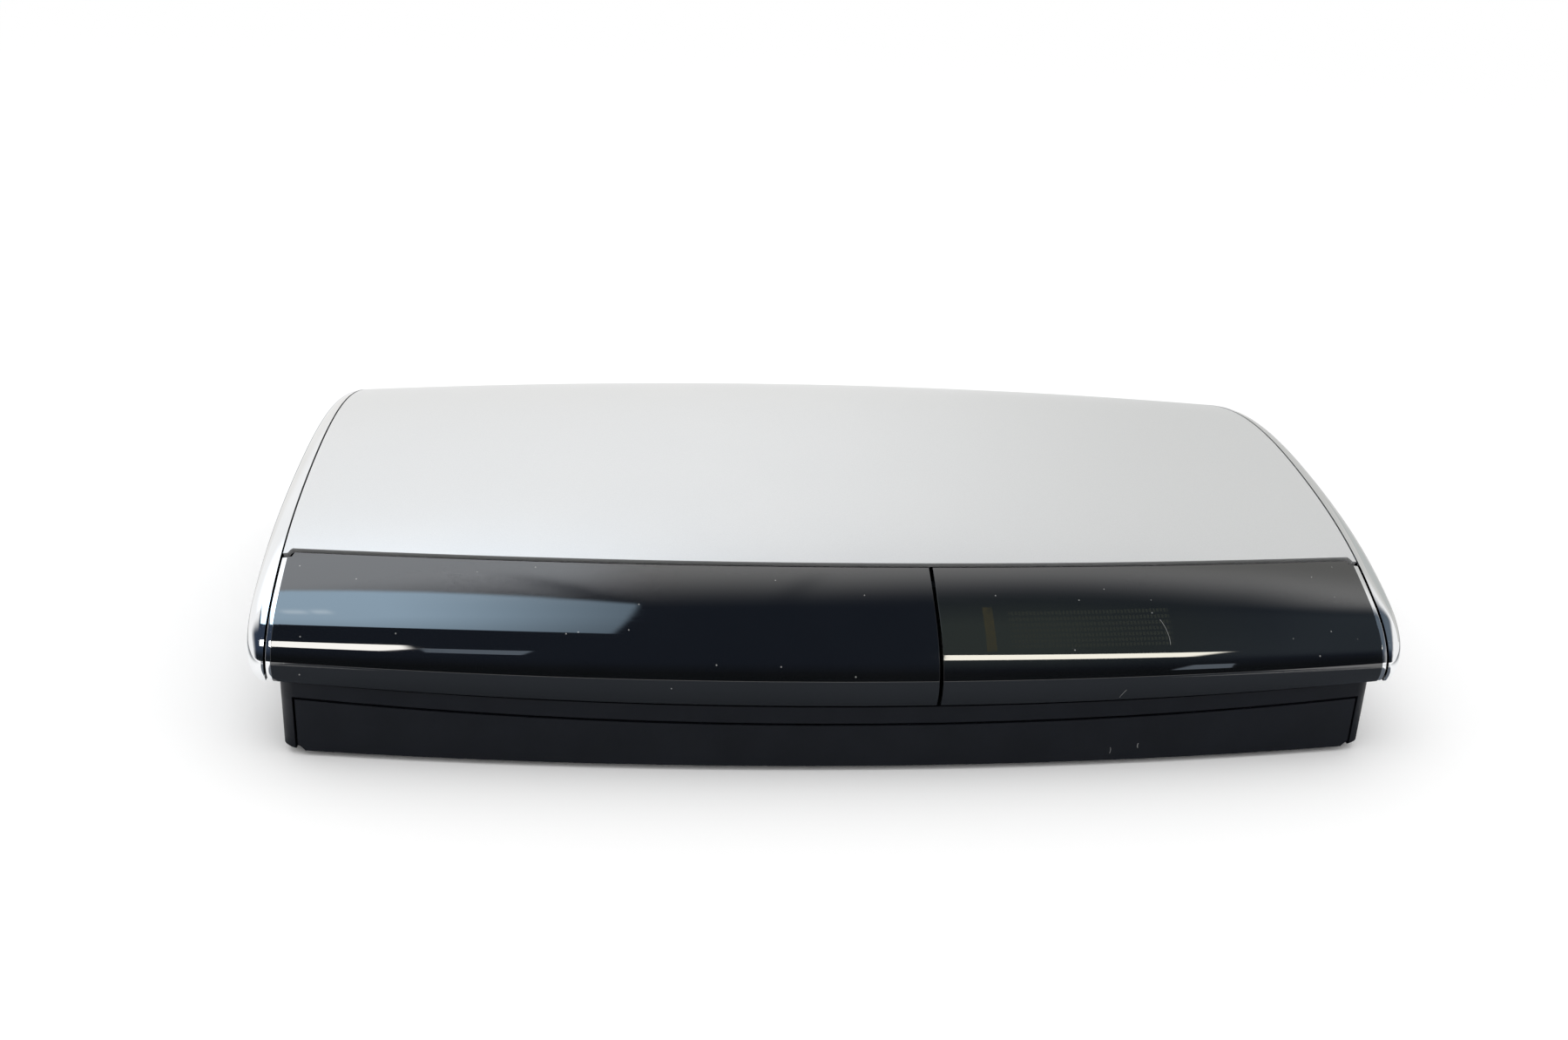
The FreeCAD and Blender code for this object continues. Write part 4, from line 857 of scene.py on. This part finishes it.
def add_card(name, tilts, sides, radiance, distance, cover, cells=40):
    """A glowing card in the surround, in degrees. Cover takes the tilt and the side."""
    add_sheet(name, lambda side, tilt: studio_point(tilt, side, distance),
              np.linspace(*sides, cells + 1), np.linspace(*tilts, cells + 1), radiance,
              lambda side, tilt: cover(tilt, side))


def soft_edges(tilt_fades=(), side_fades=()):
    """A cover that fades over each of the given ranges of tilt and side."""
    def cover(tilt, side):
        shares = [fade(tilt, *ends) for ends in tilt_fades]
        shares += [fade(side, *ends) for ends in side_fades]
        return math.prod(shares)
    return cover


def slanted_end(slant, level, ends):
    """A cover that ends at one side, on a line that leans as the tilt leaves a level."""
    return lambda tilt, side: fade(side + slant * (tilt - level), *ends)


def window_share(tilt, side):
    """How much of the window is seen: slanted edges, and brighter towards the left."""
    rear_edge = -3.5 + 0.5 * (side + 4.3)
    front_edge = 18.4 + 0.3 * (side + 6.5)
    right_edge = -4.7 - 0.1 * tilt
    opening = (fade(tilt - rear_edge, -0.6, 0.6) * fade(tilt - front_edge, 0.4, -0.4)
               * fade(side - right_edge, 0.3, -0.3) * fade(side, -30.5, -28.0))
    left_gain = 0.33 + 0.67 * fade(side, -2.0, -22.0)
    front_loss = 1.06 - 0.02 * max(tilt - 2.0, 0.0)
    return opening * left_gain * front_loss


def glow_share(tilt, side):
    """Two small bright clouds in the window."""
    level, half_tall, strength = -1.2, 1.9, 0.75
    share = 0.0
    for middle, reach in ((-23.5, 0.7), (-22.1, 0.55)):
        off = ((side - middle) / reach) ** 4 + ((tilt - level) / half_tall) ** 2
        share = max(share, math.exp(-off))
    return strength * share


def left_tube_share(tilt, side):
    """The left lamp, cut off at a slant on its right."""
    front_edge = 43.6 - 2.3 * (side + 20.3)
    return (fade(tilt - front_edge, 0.6, -0.6) * fade(side, -30.8, -29.2)
            * fade(side, -19.6, -20.6))


def room_share(tilt, side):
    """The dark room, from the edge of the pale cloth overhead down to the horizon."""
    far_left = fade(side, -30.0, -35.0)
    to_right = -4.0 * fade(side, 4.0, 26.0) + 3.0 * fade(side, 30.0, 37.0)
    start = -15.0 + to_right + 12.0 * far_left
    softness = 13.0 + 14.0 * far_left
    return (fade(tilt, start, start + softness) * fade(side, -70.0, -45.0)
            * fade(side, 56.0, 42.0))


def fold_share(tilt, side):
    """Two soft folds in the pale cloth over the object, each from one tilt and side to another."""
    folds = (((-15.0, -12.5), (-3.0, -4.6), 1.3, 0.5), ((-13.5, 6.4), (-4.0, 4.4), 1.0, 0.3))
    share = 0.0
    for start, end, width, depth in folds:
        along = (tilt - start[0]) / (end[0] - start[0])
        off = side - (start[1] + (end[1] - start[1]) * along)
        length = fade(along, -0.1, 0.7) * fade(along, 1.3, 1.0)
        share = max(share, depth * math.exp(-(off / width) ** 2) * length)
    return share


def add_cards():
    """All that the gloss mirrors: the cloth, the room, a window, tube lamps and the walls."""
    dark = (0.032, 0.045, 0.073)
    add_card("room", tilts=(-26.0, 92.0), sides=(-62.0, 70.0), radiance=dark,
             distance=3000.0, cover=room_share, cells=80)
    add_card("horizon", tilts=(50.0, 92.0), sides=(-60.0, 60.0),
             radiance=(0.010, 0.013, 0.017), distance=2950.0,
             cover=soft_edges(tilt_fades=((50.0, 78.0),),
                              side_fades=((-60.0, -45.0), (54.0, 40.0))))
    add_card("cloth_left", tilts=(-40.0, -6.0), sides=(-46.0, -3.0),
             radiance=(1.36, 1.42, 1.50), distance=3050.0,
             cover=soft_edges(tilt_fades=((-34.0, -22.0),),
                              side_fades=((-46.0, -30.0), (-3.0, -9.0))))
    add_card("folds", tilts=(-18.0, 0.0), sides=(-15.0, 9.0), radiance=dark,
             distance=2920.0, cover=fold_share, cells=80)
    add_card("window", tilts=(-24.0, 26.0), sides=(-40.0, -2.0), radiance=(1.80, 2.44, 3.04),
             distance=2900.0, cover=window_share, cells=160)
    add_card("window_glow", tilts=(-6.0, 3.5), sides=(-26.0, -20.0), radiance=(2.9, 3.5, 4.0),
             distance=2890.0, cover=glow_share, cells=60)
    add_card("left_tube", tilts=(37.5, 48.0), sides=(-33.0, -18.0), radiance=(7.4, 7.2, 6.9),
             distance=2900.0, cover=left_tube_share, cells=120)
    add_card("far_tube", tilts=(41.5, 48.0), sides=(-19.4, -12.2), radiance=(0.58, 0.70, 0.85),
             distance=2900.0, cover=slanted_end(0.15, 41.5, (-12.2, -12.6)), cells=80)
    add_card("right_tube", tilts=(42.4, 49.6), sides=(14.2, 33.0), radiance=(7.0, 6.7, 5.9),
             distance=2900.0, cover=slanted_end(0.3, 42.5, (33.0, 31.6)), cells=80)
    add_card("right_gap", tilts=(66.0, 76.5), sides=(29.6, 33.6), radiance=(0.56, 0.66, 0.78),
             distance=2900.0, cover=slanted_end(0.12, 66.0, (30.6, 31.2)))
    add_card("right_wall", tilts=(-20.0, 60.0), sides=(24.0, 60.0),
             radiance=(0.110, 0.140, 0.172), distance=2980.0,
             cover=soft_edges(tilt_fades=((-14.0, 0.0), (60.0, 45.0)),
                              side_fades=((24.0, 38.0), (54.0, 41.0))))
    add_card("right_post", tilts=(-76.0, -24.0), sides=(40.0, 62.0),
             radiance=(0.52, 0.54, 0.53), distance=2880.0,
             cover=soft_edges(tilt_fades=((-24.0, -34.0), (-76.0, -66.0)),
                              side_fades=((40.0, 44.0), (62.0, 57.0))))
    add_card("rear_right", tilts=(-92.0, -12.0), sides=(0.0, 80.0),
             radiance=(0.62, 0.62, 0.60), distance=3150.0,
             cover=soft_edges(tilt_fades=((-12.0, -24.0),), side_fades=((2.0, 26.0),)))
    add_card("rear_wall", tilts=(-92.0, -50.0), sides=(-80.0, 80.0),
             radiance=(0.90, 0.89, 0.87), distance=3200.0,
             cover=soft_edges(tilt_fades=((-50.0, -75.0),)))
    add_apron()
    add_side_aprons()


def add_apron():
    """A grey card on the floor in front, mirrored by the panels' undersides."""
    corners = [(x, y, APRON_LIFT) for x, y in APRON_CORNERS]
    card = add_mesh("apron", corners, [(0, 1, 2, 3)])
    card.data.materials.append(matt_paint("apron", APRON_COLOUR, 1.0))
    only_mirrored(card)


def add_side_aprons():
    """Soft grey cards on the floor at both sides, for the chrome caps to mirror."""
    xs = np.linspace(*SIDE_APRON_XS, SIDE_APRON_GRID[0])
    ys = np.linspace(*SIDE_APRON_YS, SIDE_APRON_GRID[1])

    def cover(x, y):
        return (fade(x, *SIDE_APRON_NEAR_FADE) * fade(y, *SIDE_APRON_FRONT_FADE)
                * fade(y, *SIDE_APRON_REAR_FADE))

    for name, side in (("apron_left", LEFT), ("apron_right", RIGHT)):
        add_sheet(name, lambda x, y, side=side: Vector((side * x, y, APRON_LIFT)), xs, ys,
                  radiance=SIDE_APRON_RADIANCE, cover=cover)


def set_world():
    """An even white surround, as bright as white where it is seen or mirrored."""
    world = bpy.data.worlds.new("surround")
    bpy.context.scene.world = world
    world.use_nodes = True
    background = world.node_tree.nodes["Background"]
    background.inputs["Color"].default_value = (1.0, 1.0, 1.0, 1.0)
    background.inputs["Strength"].default_value = 1.0


def add_camera():
    """The camera at the photograph's place, with its pitch, yaw and roll."""
    pitch, yaw, roll = (math.radians(v) for v in (CAMERA_PITCH, CAMERA_YAW, CAMERA_ROLL))
    level = Vector((math.sin(yaw), math.cos(yaw), 0.0))
    forward = level * math.cos(pitch) - Vector((0.0, 0.0, math.sin(pitch)))
    side = Vector((math.cos(yaw), -math.sin(yaw), 0.0))
    over = side.cross(forward)
    right = side * math.cos(roll) + over * math.sin(roll)
    up = over * math.cos(roll) - side * math.sin(roll)
    data = bpy.data.cameras.new("camera")
    data.sensor_fit = "HORIZONTAL"
    data.sensor_width = SENSOR_WIDTH
    data.lens = FOCAL_PIXELS / PHOTO_WIDTH * SENSOR_WIDTH
    camera = bpy.data.objects.new("camera", data)
    turn = Matrix((right, up, -forward)).transposed().to_4x4()
    camera.matrix_world = Matrix.Translation(Vector(CAMERA_PLACE) * MM) @ turn
    bpy.context.scene.collection.objects.link(camera)
    bpy.context.scene.camera = camera


def build_stage():
    """Floor, surround, lamp, mirrored cards and camera."""
    bpy.context.scene.view_settings.view_transform = "Standard"
    set_world()
    add_floor()
    add_cards()
    add_lamp()
    add_camera()


# The part

def fit(piece, body, materials, node=None):
    """Give a piece its materials, hide the node it stands in for if one is given, and attach it to
    the body it rides on.
    """
    for material in materials:
        piece.data.materials.append(material)
    if node:
        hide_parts(node)
    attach(piece, body)


def build_case(materials):
    """The outer shells as smooth pieces in place of their faceted solids."""
    end = SKIN_HALF - STRIP_WIDTH
    half_seam = PANEL_SEAM / 2.0
    edge = materials["panel_edge"]
    chrome = [materials["chrome_trim"]]
    fit(build_cover(), "console",
        [materials["silver_cover"], materials["cover_edge_highlight"]], "top_cover")
    fit(build_posts(), "console", [materials["black_plastic"]])
    fit(build_panel("smoked_drawer", -end, PANEL_SPLIT - half_seam), "tray",
        [materials["smoked_panel"], edge], "drawer_front")
    fit(build_panel("smoked_window", PANEL_SPLIT + half_seam, end), "console",
        [materials["smoked_window"], edge], "display_window")
    fit(build_strip("drawer_strip", LEFT), "tray", chrome, "drawer_end_strip")
    fit(build_strip("window_strip", RIGHT), "console", chrome, "window_end_strip")
    fit(build_cap("chrome_cap_left", LEFT), "console", chrome, "left_end_cap")
    fit(build_cap("chrome_cap_right", RIGHT), "console", chrome, "right_end_cap")


def build_fittings(materials):
    """Small fittings: rear flanges, side skirts and rear screws."""
    black = [materials["black_plastic"]]
    fit(build_flange("rear_flange_left", LEFT), "console", black)
    fit(build_flange("rear_flange_right", RIGHT), "console", black)
    fit(build_skirt("side_skirt_left", LEFT), "console", black)
    fit(build_skirt("side_skirt_right", RIGHT), "console", black)
    fit(build_rear_screws(), "console", [materials["screw_black"]])


def main():
    """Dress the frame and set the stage."""
    materials = make_materials()
    paint_frame(materials)
    build_case(materials)
    build_fittings(materials)
    build_stage()


main()
